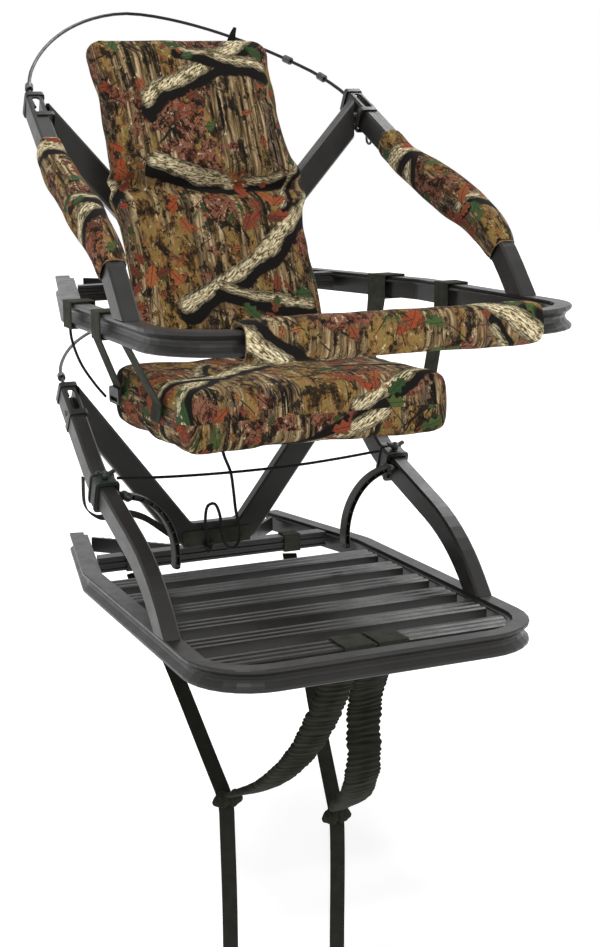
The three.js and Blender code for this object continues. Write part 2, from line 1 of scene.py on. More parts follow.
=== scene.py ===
"""Climbing tree stand: the looks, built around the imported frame.

Metres. X runs across the stand, +Y points to the tree and +Z is up. The origin is the flat of the
platform's tree bite.
"""

import json
import math

import bpy
import numpy as np
from mathutils import Matrix, Vector, noise


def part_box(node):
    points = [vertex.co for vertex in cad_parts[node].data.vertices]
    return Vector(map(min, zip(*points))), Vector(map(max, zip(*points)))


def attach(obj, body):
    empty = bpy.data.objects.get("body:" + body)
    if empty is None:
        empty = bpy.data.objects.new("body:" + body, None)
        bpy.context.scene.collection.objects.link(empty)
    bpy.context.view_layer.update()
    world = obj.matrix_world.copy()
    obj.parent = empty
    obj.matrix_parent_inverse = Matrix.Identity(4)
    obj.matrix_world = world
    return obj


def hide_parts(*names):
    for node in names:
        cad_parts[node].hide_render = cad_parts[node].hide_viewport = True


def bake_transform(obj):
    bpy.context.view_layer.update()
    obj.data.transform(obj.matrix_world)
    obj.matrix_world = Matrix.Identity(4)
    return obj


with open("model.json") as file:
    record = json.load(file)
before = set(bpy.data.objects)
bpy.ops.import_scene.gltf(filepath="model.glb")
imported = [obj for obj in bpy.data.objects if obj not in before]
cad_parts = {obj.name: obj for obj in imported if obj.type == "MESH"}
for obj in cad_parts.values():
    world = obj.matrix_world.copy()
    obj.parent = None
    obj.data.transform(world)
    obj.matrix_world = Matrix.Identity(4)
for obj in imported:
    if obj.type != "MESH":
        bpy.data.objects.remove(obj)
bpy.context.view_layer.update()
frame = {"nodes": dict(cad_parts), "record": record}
NODES = frame["nodes"]
SIDES = (("left", -1), ("right", 1))
MM = 0.001


# ---- camera ---------------------------------------------------------------------------------
def make_camera():
    azimuth, elevation, roll = math.radians(-22.8), math.radians(12.1), math.radians(-0.9)
    ahead = Vector((-math.sin(azimuth) * math.cos(elevation), math.cos(azimuth) * math.cos(elevation),
                    -math.sin(elevation)))
    level = Vector((math.cos(azimuth), math.sin(azimuth), 0))
    upright = level.cross(ahead)
    right = level * math.cos(roll) + upright * math.sin(roll)
    up = upright * math.cos(roll) - level * math.sin(roll)
    data = bpy.data.cameras.new("camera")
    data.sensor_width = 36
    data.lens = 63.59
    data.shift_x, data.shift_y = 0.0484, 0.0015
    data.clip_start, data.clip_end = 0.05, 60
    camera = bpy.data.objects.new("camera", data)
    camera.matrix_world = Matrix.Translation((-0.9536, -2.4635, 0.68865)) @ Matrix(
        (right, up, -ahead)).transposed().to_4x4()
    bpy.context.scene.collection.objects.link(camera)
    bpy.context.scene.camera = camera


# ---- shape helpers --------------------------------------------------------------------------
def vectors(rows, scale=MM):
    return [Vector(row) * scale for row in rows]


def smooth_route(points, per_span=8):
    """A centripetal Catmull-Rom line through the points."""
    ends = [points[0] * 2 - points[1], *points, points[-1] * 2 - points[-2]]
    route = []
    for a, b, c, d in zip(ends, ends[1:], ends[2:], ends[3:]):
        t1 = math.sqrt((b - a).length)
        t2 = t1 + math.sqrt((c - b).length)
        t3 = t2 + math.sqrt((d - c).length)
        for k in range(per_span):
            t = t1 + (t2 - t1) * k / per_span
            ab = a * ((t1 - t) / t1) + b * (t / t1)
            bc = b * ((t2 - t) / (t2 - t1)) + c * ((t - t1) / (t2 - t1))
            cd = c * ((t3 - t) / (t3 - t2)) + d * ((t - t2) / (t3 - t2))
            abc = ab * ((t2 - t) / t2) + bc * (t / t2)
            bcd = bc * ((t3 - t) / (t3 - t1)) + cd * ((t - t1) / (t3 - t1))
            route.append(abc * ((t2 - t) / (t2 - t1)) + bcd * ((t - t1) / (t2 - t1)))
    return [*route, points[-1]]


def filleted(corners, radii, steps=10):
    """A polyline with its inner corners rounded to the radii."""
    route = [corners[0]]
    for a, b, c, radius in zip(corners, corners[1:], corners[2:], radii):
        come, go = (b - a).normalized(), (c - b).normalized()
        turn = come.angle(go)
        start = b - come * radius * math.tan(turn / 2)
        inward = (go - come * come.dot(go)).normalized()
        for k in range(steps + 1):
            t = turn * k / steps
            route.append(start + come * radius * math.sin(t) + inward * radius * (1 - math.cos(t)))
    return [*route, corners[-1]]


def evenly(route, step):
    """The route's points, respaced to about one step apart."""
    lengths = np.concatenate(([0], np.cumsum([(b - a).length for a, b in zip(route, route[1:])])))
    count = max(2, round(lengths[-1] / step))
    rows = np.array(route)
    at = np.linspace(0, lengths[-1], count + 1)
    return [Vector(row) for row in np.stack([np.interp(at, lengths, rows[:, k]) for k in range(3)], 1)]


def superellipse(a, b, count, power=2.0):
    points = []
    for k in range(count):
        c, s = math.cos(2 * math.pi * k / count), math.sin(2 * math.pi * k / count)
        points.append((a * math.copysign(abs(c) ** (2 / power), c), b * math.copysign(abs(s) ** (2 / power), s)))
    return points


def flat_section(width, thick):
    """A webbing section: wide, thin, with round selvedges."""
    return superellipse(width / 2, thick / 2, 20, 5)


def mesh_object(name, points, faces, material, uvs=None, body=None):
    mesh = bpy.data.meshes.new(name)
    mesh.from_pydata([tuple(p) for p in points], [], faces)
    if uvs is not None:
        layer = mesh.uv_layers.new(name="print")
        layer.data.foreach_set("uv", np.array([uv for face in uvs for uv in face], np.float32).ravel())
    mesh.materials.append(material)
    mesh.polygons.foreach_set("use_smooth", [True] * len(mesh.polygons))
    obj = bpy.data.objects.new(name, mesh)
    bpy.context.scene.collection.objects.link(obj)
    if body:
        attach(obj, body)
    return obj


def sweep(name, route, section, material, side, body=None, caps=True, along_offset=0.0):
    """A tube of a section, or of section(i, share), along a route. Its print runs around and along it."""
    last = len(route) - 1
    loops, width = [], None
    for i, point in enumerate(route):
        tangent = (route[min(i + 1, last)] - route[max(i - 1, 0)]).normalized()
        width = (side(i / last) if callable(side) else (side if width is None or side is not None else width))
        width = (width - tangent * width.dot(tangent)).normalized()
        depth = tangent.cross(width)
        shape = section(i, i / last) if callable(section) else section
        loops.append([point + width * a + depth * b for a, b in shape])
    count = len(loops[0])
    points = [p for loop in loops for p in loop]
    around = np.concatenate(([0], np.cumsum([(loops[last // 2][(k + 1) % count] - loops[last // 2][k]).length
                                            for k in range(count)])))
    along = np.concatenate(([0], np.cumsum([(b - a).length for a, b in zip(route, route[1:])]))) + along_offset
    faces, uvs = [], []
    for i in range(last):
        for k in range(count):
            n = (k + 1) % count
            faces.append((i * count + k, i * count + n, (i + 1) * count + n, (i + 1) * count + k))
            uvs.append(((around[k], along[i]), (around[k + 1], along[i]),
                        (around[k + 1], along[i + 1]), (around[k], along[i + 1])))
    if caps:
        first, final = range(count), range(last * count, (last + 1) * count)
        faces += [tuple(reversed(first)), tuple(final)]
        uvs += [tuple((around[k], along[0]) for k in reversed(first)),
                tuple((around[k], along[last]) for k in first)]
    return mesh_object(name, points, faces, material, uvs, body)


def lump(position, size, seed=0.0):
    """Smooth noise from about -1 to 1, with features of the given size."""
    return noise.noise(position / size + Vector((seed, seed * 1.7, seed * 0.6)))


def join(name, parts):
    """Several mesh objects as one."""
    for obj in bpy.context.selected_objects:
        obj.select_set(False)
    for part in parts:
        part.select_set(True)
    bpy.context.view_layer.objects.active = parts[0]
    bpy.ops.object.join()
    parts[0].name = name
    parts[0].select_set(False)
    return parts[0]


def shifted(obj, matrix):
    obj.data.transform(matrix)
    return obj


def extrude(name, outline, axis_from, axis_to, bevel, material):
    """An outline in the XY plane, extruded along Z, with rounded edges."""
    count = len(outline)
    points = [Vector((x, y, z)) for z in (axis_from, axis_to) for x, y in outline]
    faces = [tuple(reversed(range(count))), tuple(range(count, 2 * count))]
    faces += [(k, (k + 1) % count, count + (k + 1) % count, count + k) for k in range(count)]
    obj = mesh_object(name, points, faces, material)
    soften(obj, bevel)
    return obj


def soften(obj, width, angle=35, segments=2):
    """Rounds hard edges a little, as real metal and moulded plastic have them."""
    obj.data.polygons.foreach_set("use_smooth", [True] * len(obj.data.polygons))
    bevel = obj.modifiers.new("edges", "BEVEL")
    bevel.width, bevel.segments = width, segments
    bevel.limit_method, bevel.angle_limit = "ANGLE", math.radians(angle)
    bevel.harden_normals = True
    bevel.use_clamp_overlap = True


# ---- materials ------------------------------------------------------------------------------
class Graph:
    """Short names for the shader nodes; each method gives the new node's output."""

    def __init__(self, name, base=(0.5, 0.5, 0.5), roughness=0.5, metallic=0.0):
        self.material = bpy.data.materials.new(name)
        self.material.use_nodes = True
        self.tree = self.material.node_tree
        self.shader = self.tree.nodes["Principled BSDF"]
        self.shader.inputs["Base Color"].default_value = (*base, 1)
        self.shader.inputs["Roughness"].default_value = roughness
        self.shader.inputs["Metallic"].default_value = metallic
        self.shader.inputs["Specular IOR Level"].default_value = 0.15 if roughness > 0.7 else 0.4

    def node(self, kind, inputs=(), **settings):
        node = self.tree.nodes.new("ShaderNode" + kind)
        for key, value in settings.items():
            setattr(node, key, value)
        for key, value in dict(inputs).items():
            if isinstance(value, bpy.types.NodeSocket):
                self.tree.links.new(value, node.inputs[key])
            else:
                node.inputs[key].default_value = value
        return node

    def math(self, operation, *values, clamp=False):
        return self.node("Math", dict(enumerate(values)), operation=operation, use_clamp=clamp).outputs[0]

    def vector(self, operation, *values, output=0):
        return self.node("VectorMath", dict(enumerate(values)), operation=operation).outputs[output]

    def scaled(self, vector, *factors):
        return self.vector("MULTIPLY", vector, factors)

    def noise(self, vector, scale, detail=3.0, roughness=0.55, distortion=0.0):
        inputs = {"Vector": vector, "Scale": scale, "Detail": detail, "Roughness": roughness,
                  "Distortion": distortion}
        return self.node("TexNoise", inputs).outputs["Fac"]

    def ramp(self, value, *stops):
        node = self.node("ValToRGB", {0: value})
        elements = node.color_ramp.elements
        while len(elements) < len(stops):
            elements.new(0.5)
        for element, (at, colour) in zip(elements, stops):
            element.position = at
            element.color = (*colour, 1) if isinstance(colour, tuple) else (colour, colour, colour, 1)
        return node.outputs[0]

    def step(self, value, low, high):
        """0 below low, 1 above high; the other way round where low is the larger."""
        first, last = (0.0, 1.0) if low < high else (1.0, 0.0)
        inputs = {"Value": value, "From Min": min(low, high), "From Max": max(low, high),
                  "To Min": first, "To Max": last}
        return self.node("MapRange", inputs, interpolation_type="SMOOTHSTEP").outputs[0]

    def mix(self, share, a, b):
        inputs = {0: share, 6: (*a, 1) if isinstance(a, tuple) else a, 7: (*b, 1) if isinstance(b, tuple) else b}
        return self.node("Mix", inputs, data_type="RGBA").outputs[2]

    def uv(self):
        return self.node("UVMap", uv_map="print").outputs[0]

    def place(self):
        return self.node("TexCoord").outputs["Object"]

    def finish(self, colour=None, roughness=None, height=None, distance=0.001, strength=1.0):
        links = self.tree.links
        if colour is not None:
            links.new(colour, self.shader.inputs["Base Color"])
        if roughness is not None:
            links.new(roughness, self.shader.inputs["Roughness"])
        if height is not None:
            bump = self.node("Bump", {"Height": height, "Distance": distance, "Strength": strength})
            links.new(bump.outputs[0], self.shader.inputs["Normal"])
        return self.material


def painted_metal():
    g = Graph("painted_frame", metallic=0.1)
    g.shader.inputs["Specular IOR Level"].default_value = 0.32
    at = g.place()
    cloud = g.noise(at, 9, 4)
    speck = g.noise(at, 900, 2)
    colour = g.ramp(cloud, (0.3, (0.0130, 0.0123, 0.0114)), (0.7, (0.0208, 0.0197, 0.0188)))
    rough = g.ramp(g.noise(at, 40, 5, 0.7), (0.3, 0.30), (0.7, 0.44))
    return g.finish(colour, rough, speck, 0.00010, 0.3)


def blackened_steel():
    g = Graph("blackened_steel", metallic=0.8)
    at = g.place()
    colour = g.ramp(g.noise(at, 160, 4), (0.35, (0.045, 0.045, 0.045)), (0.75, (0.11, 0.11, 0.108)))
    rough = g.ramp(g.noise(at, 260, 3), (0.3, 0.32), (0.7, 0.5))
    return g.finish(colour, rough, g.noise(at, 1100, 2), 0.0001, 0.3)


def coated_cable():
    g = Graph("cable_coat", (0.0035, 0.0035, 0.0037))
    g.shader.inputs["Specular IOR Level"].default_value = 0.25
    at = g.place()
    rough = g.ramp(g.noise(at, 120, 4), (0.3, 0.32), (0.7, 0.5))
    return g.finish(None, rough, g.noise(at, 420, 2), 0.0001, 0.2)


def green_plastic():
    g = Graph("green_plastic")
    at = g.place()
    colour = g.ramp(g.noise(at, 30, 4), (0.3, (0.010, 0.0135, 0.0095)), (0.75, (0.024, 0.031, 0.022)))
    rough = g.ramp(g.noise(at, 220, 3), (0.3, 0.34), (0.7, 0.5))
    return g.finish(colour, rough, g.noise(at, 1400, 2), 0.0001, 0.4)


def webbing(name, dark, light, pitch=0.0017):
    """Woven tape: ribs across the print's width, with a herringbone of picks along it."""
    g = Graph(name, roughness=0.88)
    across, along, _ = g.node("SeparateXYZ", {0: g.uv()}).outputs
    cell = math.tau / pitch
    rib = g.math("SINE", g.math("MULTIPLY", across, cell))
    slant = g.math("MULTIPLY", g.math("PINGPONG", across, pitch * 2), 1.0)
    pick = g.math("SINE", g.math("MULTIPLY", g.math("ADD", along, slant), cell * 1.15))
    weave = g.math("ADD", g.math("MULTIPLY", rib, 0.5), g.math("MULTIPLY", pick, 0.5))
    wear = g.noise(g.uv(), 45, 5, 0.6)
    # Painted shade: the weave's height darkens its hollows in the colour, on top of the random wear mottle.
    weave_shade_and_mottle = g.math("ADD", g.math("MULTIPLY", weave, 0.22), wear)
    return g.finish(g.ramp(weave_shade_and_mottle, (0.25, dark), (0.8, light)), None, weave, 0.0004, 0.7)


def web_on_frame(name, dark, light):
    """The same tape on the CAD pieces, which have no print: fine ribs through their own space. Its colours, given
    lighter than the strap tape's, are a painted lit copy of that tape.
    """
    g = Graph(name, roughness=0.9)
    at = g.place()
    x, y, z = g.node("SeparateXYZ", {0: at}).outputs
    cell = math.tau / 0.0024
    ribs = g.math("MULTIPLY", g.math("SINE", g.math("MULTIPLY", g.math("ADD", x, y), cell)),
                  g.math("SINE", g.math("MULTIPLY", z, cell)))
    # Painted shade: the ribs' height darkens their hollows in the colour, on top of a random mottle.
    weave_shade_and_mottle = g.math("ADD", g.math("MULTIPLY", ribs, 0.15), g.noise(at, 50, 5, 0.6))
    return g.finish(g.ramp(weave_shade_and_mottle, (0.3, dark), (0.75, light)), None, ribs, 0.0004, 0.6)


def braided_cord():
    g = Graph("cord_braid", roughness=0.75)
    across, along, _ = g.node("SeparateXYZ", {0: g.uv()}).outputs
    one = g.math("SINE", g.math("MULTIPLY", g.math("ADD", across, along), 2100.0))
    two = g.math("SINE", g.math("MULTIPLY", g.math("SUBTRACT", across, along), 2100.0))
    braid = g.math("MAXIMUM", one, two)
    # Painted shade: the colour follows the braid's height, dark in the grooves between strands and lighter on the
    # crests.
    return g.finish(g.ramp(braid, (0.1, (0.004, 0.004, 0.004)), (0.95, (0.02, 0.02, 0.019))), None, braid, 0.0004, 0.8)


def shirred_cloth():
    g = Graph("shirred_cloth", roughness=0.93)
    fold = g.noise(g.scaled(g.uv(), 25, 260, 1), 1, 3)
    thread = g.noise(g.scaled(g.uv(), 900, 900, 1), 1, 2)
    # Painted shade: the colour follows the gathers' height, dark down in the folds and lighter on their ridges.
    colour = g.ramp(fold, (0.3, (0.006, 0.0064, 0.0042)), (0.7, (0.023, 0.0245, 0.0165)))
    return g.finish(colour, None, g.math("ADD", fold, g.math("MULTIPLY", thread, 0.15)), 0.0012, 0.8)


CAMO_BRANCHES = (
    # (slope of the family in degrees, wrap cell, [(x0, y0, x1, y1, radius)])
    (38, (0.372, 0.330), ((0.035, 0.060, 0.165, 0.130, 0.0125), (0.165, 0.130, 0.330, 0.262, 0.0150),
                          (0.212, 0.205, 0.262, 0.300, 0.0065))),
    (-16, (0.331, 0.391), ((0.030, 0.300, 0.140, 0.262, 0.0165), (0.140, 0.262, 0.225, 0.270, 0.0110),
                           (0.090, 0.085, 0.235, 0.050, 0.0080))),
)


def camo_branch(g, at, colour, slope, cell, segments):
    """Pale mottled limbs with a black shadow under them, laid over a colour."""
    bent = g.vector("ADD", at, g.scaled(g.vector("SUBTRACT", g.node("TexNoise", {
        "Vector": at, "Scale": 14.0, "Detail": 2.0}).outputs["Color"], (0.5, 0.5, 0.5)), 0.03, 0.03, 0))

    def distance(shift):
        local = g.vector("WRAP", g.vector("ADD", bent, (0, shift, 0)), (*cell, 1), (0, 0, -1))
        nearest = None
        for x0, y0, x1, y1, radius in segments:
            start, run = Vector((x0, y0, 0)), Vector((x1 - x0, y1 - y0, 0))
            flat = g.vector("MULTIPLY", g.vector("SUBTRACT", local, tuple(start)), (1, 1, 0))
            share = g.math("DIVIDE", g.vector("DOT_PRODUCT", flat, tuple(run), output=1), run.length_squared,
                           clamp=True)
            foot = g.node("VectorMath", {0: tuple(run), "Scale": share}, operation="SCALE").outputs[0]
            gap = g.math("SUBTRACT", g.vector("LENGTH", g.vector("SUBTRACT", flat, foot), output=1), radius)
            nearest = gap if nearest is None else g.math("MINIMUM", nearest, gap)
        return nearest

    grain = g.node("VectorRotate", {"Vector": at, "Angle": -math.radians(slope)}, rotation_type="Z_AXIS").outputs[0]
    bark = g.noise(g.scaled(grain, 110, 420, 1), 1, 5, 0.7)
    blotch = g.noise(g.scaled(grain, 40, 95, 1), 1, 3, 0.6)
    rough_edge = g.math("MULTIPLY", g.math("SUBTRACT", blotch, 0.5), 0.009)
    limb = g.math("ADD", distance(0.0), rough_edge)
    shade = g.math("SUBTRACT", g.math("ADD", distance(0.014), rough_edge), 0.002)
    pale = g.ramp(bark, (0.38, (0.012, 0.010, 0.006)), (0.45, (0.17, 0.130, 0.065)), (0.51, (0.50, 0.41, 0.235)),
                  (0.62, (0.86, 0.78, 0.56)))
    mottled = g.mix(g.step(blotch, 0.56, 0.64), pale, (0.095, 0.078, 0.030))
    round_off = g.mix(g.step(limb, -0.009, -0.001), mottled, g.mix(0.75, mottled, (0.02, 0.016, 0.01)))
    shadowed = g.mix(g.step(shade, 0.0015, -0.0015), colour, (0.006, 0.005, 0.004))
    return g.mix(g.step(limb, 0.0008, -0.0008), shadowed, round_off)


def camo_leaves(g, at, colour, size, share, where, tints, shift):
    """Lobed leaves, one to a cell, in a share of the cells."""
    moved = g.vector("ADD", at, (shift, shift * 0.7, 0))
    cells = g.node("TexVoronoi", {"Vector": moved, "Scale": 1 / size, "Randomness": 0.85},
                   voronoi_dimensions="2D").outputs
    lot, turn, tint = g.node("SeparateColor", {0: cells["Color"]}).outputs
    centre = cells["Position"]
    local = g.vector("SUBTRACT", moved, centre)
    turned = g.node("VectorRotate", {"Vector": local, "Angle": g.math("MULTIPLY", turn, math.tau)},
                    rotation_type="Z_AXIS").outputs[0]
    x, y, _ = g.node("SeparateXYZ", {0: turned}).outputs
    reach = g.math("DIVIDE", x, size * 0.46)
    lobes = g.math("ADD", g.math("MULTIPLY", g.math("COSINE", g.math("MULTIPLY", reach, 11.0)), 0.22), 0.78)
    width = g.math("MULTIPLY", g.math("MULTIPLY", g.math("SUBTRACT", 1.0, g.math("MULTIPLY", reach, reach)), lobes),
                   size * 0.27)
    side = g.math("ABSOLUTE", y)
    inside = g.step(g.math("SUBTRACT", width, side), -0.0003, 0.0006)
    chosen = g.math("MULTIPLY", g.step(lot, 1 - share - 0.01, 1 - share), where)
    vein = g.step(side, 0.0007, 0.0002)
    body = g.ramp(tint, *[((k + 0.5) / len(tints), value) for k, value in enumerate(tints)])
    shaded = g.mix(g.math("MULTIPLY", g.noise(at, 260, 4, 0.7), 0.9), body, (0.015, 0.008, 0.005))
    leaf = g.mix(vein, shaded, (0.03, 0.015, 0.01))
    rim = g.step(g.math("SUBTRACT", width, side), 0.0016, 0.0004)
    leaf = g.mix(g.math("MULTIPLY", rim, 0.7), leaf, (0.01, 0.006, 0.004))
    return g.mix(g.math("MULTIPLY", inside, chosen), colour, leaf)


def camo_twigs(g, at, colour, angle, shift):
    """Thin dark sticks: the level lines of a stretched noise, broken up."""
    turned = g.node("VectorRotate", {"Vector": g.vector("ADD", at, (shift, 0, 0)), "Angle": angle},
                    rotation_type="Z_AXIS").outputs[0]
    level = g.math("ABSOLUTE", g.math("SUBTRACT", g.noise(g.scaled(turned, 26, 5, 1), 1, 1.5), 0.5))
    kept = g.step(g.noise(g.vector("ADD", at, (0, shift, 0)), 16, 1), 0.53, 0.56)
    return g.mix(g.math("MULTIPLY", g.step(level, 0.011, 0.004), kept), colour, (0.018, 0.012, 0.007))


def camouflage():
    """A woodland print of our own: trunks, brush, leaf litter, twigs, limbs and leaves."""
    g = Graph("camo_cloth", roughness=0.95)
    at = g.uv()
    streak = g.noise(g.scaled(at, 118, 7.5, 1), 1, 5, 0.7)
    trunks = g.ramp(streak, (0.37, (0.006, 0.004, 0.003)), (0.45, (0.060, 0.038, 0.017)),
                    (0.51, (0.165, 0.110, 0.052)), (0.58, (0.330, 0.235, 0.125)), (0.70, (0.620, 0.500, 0.330)))
    mottle = g.noise(g.scaled(at, 47, 27, 1), 1, 7, 0.76)
    brush = g.ramp(mottle, (0.37, (0.008, 0.006, 0.003)), (0.45, (0.095, 0.052, 0.018)),
                   (0.52, (0.270, 0.150, 0.050)), (0.58, (0.125, 0.110, 0.026)), (0.67, (0.520, 0.360, 0.170)))
    bands = g.noise(g.scaled(at, 19, 2.2, 1), 1, 2)
    colour = g.mix(g.step(bands, 0.44, 0.50), brush, trunks)
    bark_bands = g.noise(g.scaled(at, 24, 1.2, 1), 1, 1)
    bark = g.ramp(g.noise(g.scaled(at, 330, 46, 1), 1, 5, 0.75), (0.38, (0.014, 0.009, 0.006)),
                  (0.54, (0.120, 0.080, 0.050)), (0.68, (0.260, 0.190, 0.130)))
    colour = g.mix(g.step(bark_bands, 0.60, 0.62), colour, bark)
    gaps = g.noise(g.scaled(at, 52, 3.6, 1), 1, 3)
    colour = g.mix(g.step(gaps, 0.375, 0.345), colour, (0.006, 0.005, 0.004))
    litter_zone = g.step(g.noise(g.vector("ADD", at, (0.31, 0.17, 0)), 8.5, 4, 0.65), 0.55, 0.585)
    curl = g.node("TexNoise", {"Vector": at, "Scale": 42.0, "Detail": 2.0}).outputs["Color"]
    bent = g.vector("ADD", at, g.scaled(curl, 0.035, 0.035, 0))
    litter = g.ramp(g.noise(bent, 60, 6, 0.72), (0.37, (0.022, 0.008, 0.005)), (0.45, (0.105, 0.035, 0.019)),
                    (0.52, (0.235, 0.098, 0.060)), (0.58, (0.115, 0.052, 0.030)), (0.68, (0.440, 0.240, 0.160)))
    lines = g.math("ABSOLUTE", g.math("SUBTRACT", g.noise(bent, 58, 2), 0.5))
    litter = g.mix(g.step(lines, 0.026, 0.008), litter, (0.006, 0.004, 0.003))
    colour = g.mix(litter_zone, colour, litter)
    for angle, shift in ((0.9, 0.0), (-0.7, 0.37), (0.15, 0.71)):
        colour = camo_twigs(g, at, colour, angle, shift)
    glints = g.noise(g.scaled(g.vector("ADD", at, (0.07, 0.51, 0)), 130, 70, 1), 1, 5, 0.75)
    colour = g.mix(g.math("MULTIPLY", g.step(glints, 0.585, 0.66), 0.75), colour, (0.660, 0.540, 0.330))
    hollows = g.noise(g.scaled(g.vector("ADD", at, (0.63, 0.21, 0)), 46, 30, 1), 1, 7, 0.76)
    colour = g.mix(g.math("MULTIPLY", g.step(hollows, 0.488, 0.43), 0.92), colour, (0.005, 0.004, 0.003))
    colour = camo_leaves(g, at, colour, 0.020, 0.16, 1.0,
                         ((0.42, 0.075, 0.040), (0.45, 0.20, 0.07), (0.05, 0.11, 0.03)), 0.21)
    for slope, cell, segments in CAMO_BRANCHES:
        colour = camo_branch(g, at, colour, slope, cell, segments)
    cluster = g.step(g.noise(g.vector("ADD", at, (0.93, 0.4, 0)), 10.5, 1), 0.565, 0.60)
    green = g.step(g.noise(g.vector("ADD", at, (0.13, 0.71, 0)), 9.5, 1), 0.59, 0.62)
    colour = camo_leaves(g, at, colour, 0.046, 0.95, cluster,
                         ((0.44, 0.085, 0.030), (0.30, 0.080, 0.045), (0.50, 0.150, 0.050)), 0.55)
    colour = camo_leaves(g, at, colour, 0.034, 0.95, cluster,
                         ((0.28, 0.070, 0.040), (0.46, 0.120, 0.042), (0.18, 0.055, 0.030)), 0.83)
    colour = camo_leaves(g, at, colour, 0.044, 0.9, green,
                         ((0.030, 0.095, 0.028), (0.055, 0.130, 0.050), (0.090, 0.150, 0.040)), 1.35)
    across, along, _ = g.node("SeparateXYZ", {0: at}).outputs
    thread = g.math("ADD", g.math("SINE", g.math("MULTIPLY", across, 5200.0)),
                    g.math("SINE", g.math("MULTIPLY", along, 5200.0)))
    nap = g.math("ADD", g.math("MULTIPLY", thread, 0.1), g.noise(at, 700, 3))
    return g.finish(colour, None, nap, 0.0003, 0.5)


FRAME = painted_metal()
STEEL = blackened_steel()
CABLE = coated_cable()
PLASTIC = green_plastic()
WEB = webbing("olive_webbing", (0.0075, 0.0075, 0.0055), (0.019, 0.019, 0.0145))
# Painted light: the frame's tape gets about 2.5 times the strap tape's colours, a lit copy of the same tape.
WEB_CAD_LIT = web_on_frame("olive_webbing_frame_lit", (0.019, 0.0205, 0.0145), (0.046, 0.049, 0.036))
BRAID = braided_cord()
SHIRRED = shirred_cloth()
CAMO = camouflage()


# ---- the frame's own pieces -----------------------------------------------------------------
def dress_frame():
    """Paint, steel, coating, plastic and webbing on the CAD pieces, with their edges eased."""
    looks = {"frame": (FRAME, 0.0007), "hardware": (STEEL, 0.0004), "cable": (CABLE, 0), "cord": (BRAID, 0),
             "green_plastic": (PLASTIC, 0.0012), "webbing": (WEB_CAD_LIT, 0.0005), "elastic": (SHIRRED, 0),
             "camo": (CAMO, 0)}
    for row in frame["record"]["subparts"]:
        node = NODES[row["node"]]
        material, edge = looks[row["material_slot"]]
        node.data.materials.clear()
        node.data.materials.append(material)
        if edge:
            soften(node, edge)
        else:
            node.data.polygons.foreach_set("use_smooth", [True] * len(node.data.polygons))


def hoop(half_a, half_b, thickness, width, material, power=7.0, count=40):
    """A flat band round a superellipse in the XZ plane, its width along Y."""
    points, faces = [], []
    for grow, y in ((0, -width / 2), (thickness, -width / 2), (thickness, width / 2), (0, width / 2)):
        points += [Vector((a, y, b)) for a, b in superellipse(half_a + grow, half_b + grow, count, power)]
    for row in range(4):
        for k in range(count):
            n, after = (k + 1) % count, (row + 1) % 4
            faces.append((row * count + k, row * count + n, after * count + n, after * count + k))
    obj = mesh_object("hoop", points, faces, material)
    soften(obj, min(thickness, width) * 0.25)
    return obj


def bar(radius, length, material, sides=20):
    """A short round bar along Y, with chamfered ends."""
    route = [Vector((0, (t - 0.5) * length, 0)) for t in (0, 0.06, 0.94, 1)]
    return sweep("bar", route, lambda i, t: superellipse(radius * (0.86 if i in (0, 3) else 1),
                                                         radius * (0.86 if i in (0, 3) else 1), sides),
                 material, Vector((1, 0, 0)))


def applied(obj):
    """The object with its modifiers made into mesh, ready to be joined."""
    shaped = bpy.data.meshes.new_from_object(obj.evaluated_get(bpy.context.evaluated_depsgraph_get()))
    obj.modifiers.clear()
    obj.data = shaped
    return obj


def assembled(name, parts, matrix, body):
    """The parts as one piece, put in place by a matrix, on a body."""
    bpy.context.view_layer.update()
    piece = join(name, [applied(part) for part in parts])
    shifted(piece, matrix)
    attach(piece, body)
    return piece


ARM_HALF = (0.0125, 0.0180)
CLAMP_AT, CLAMP_TILT = (0.2356, -0.190, 0.15765), math.atan2(83.5, 233)
HOOK_ROOT, HOOK_REACH, HOOK_DROP = (0.218, -0.222, 0.156), 0.080, 0.098


def clamp_matrix(sign):
    return Matrix.Translation((sign * CLAMP_AT[0], *CLAMP_AT[1:])) @ Matrix.Rotation(CLAMP_TILT, 4, "X")


def make_hook(side, sign):
    """A moulded bow of I-section with cross ribs, on a round boss."""
    x, y, z = HOOK_ROOT

    def at(deg):
        a = math.radians(deg)
        return Vector((sign * (x - HOOK_REACH * math.sin(a)), y, z - HOOK_DROP * (1 - math.cos(a))))

    route = [at(deg) for deg in range(0, 101, 4)]
    half, web, depth, rim = 0.0095, 0.0013, 0.0042, 0.0018
    beam = [(half, -depth), (half, rim - depth), (web, rim - depth), (web, depth - rim), (half, depth - rim),
            (half, depth), (-half, depth), (-half, depth - rim), (-web, depth - rim), (-web, rim - depth),
            (-half, rim - depth), (-half, -depth)]
    across = Vector((0, 1, 0))
    bow = sweep("bow", route, beam, PLASTIC, across)
    soften(bow, 0.0005, segments=1)
    parts = [bow]
    for k in range(1, 9):
        one, two = at(k * 11 + 0.6), at(k * 11 + 2.0)
        parts.append(sweep("rib", [one, two], [(half * 0.9, -depth * 0.8), (half * 0.9, depth * 0.8),
                                               (-half * 0.9, depth * 0.8), (-half * 0.9, -depth * 0.8)],
                           PLASTIC, across))
    tip = sweep("tip", [at(97), at(99), at(101)], lambda i, t: superellipse(0.0098 - 0.001 * i, 0.0049 - 0.0006 * i, 16, 4),
                PLASTIC, across)
    boss = shifted(bar(0.0068, 0.0215, PLASTIC), Matrix.Translation(at(4)))
    pin = shifted(bar(0.0030, 0.0245, STEEL), Matrix.Translation(at(4)))
    hook = assembled(f"hook_bow_{side}", [*parts, tip, boss, pin], Matrix(), f"hook_{side}")
    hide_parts(f"hook_{side}")


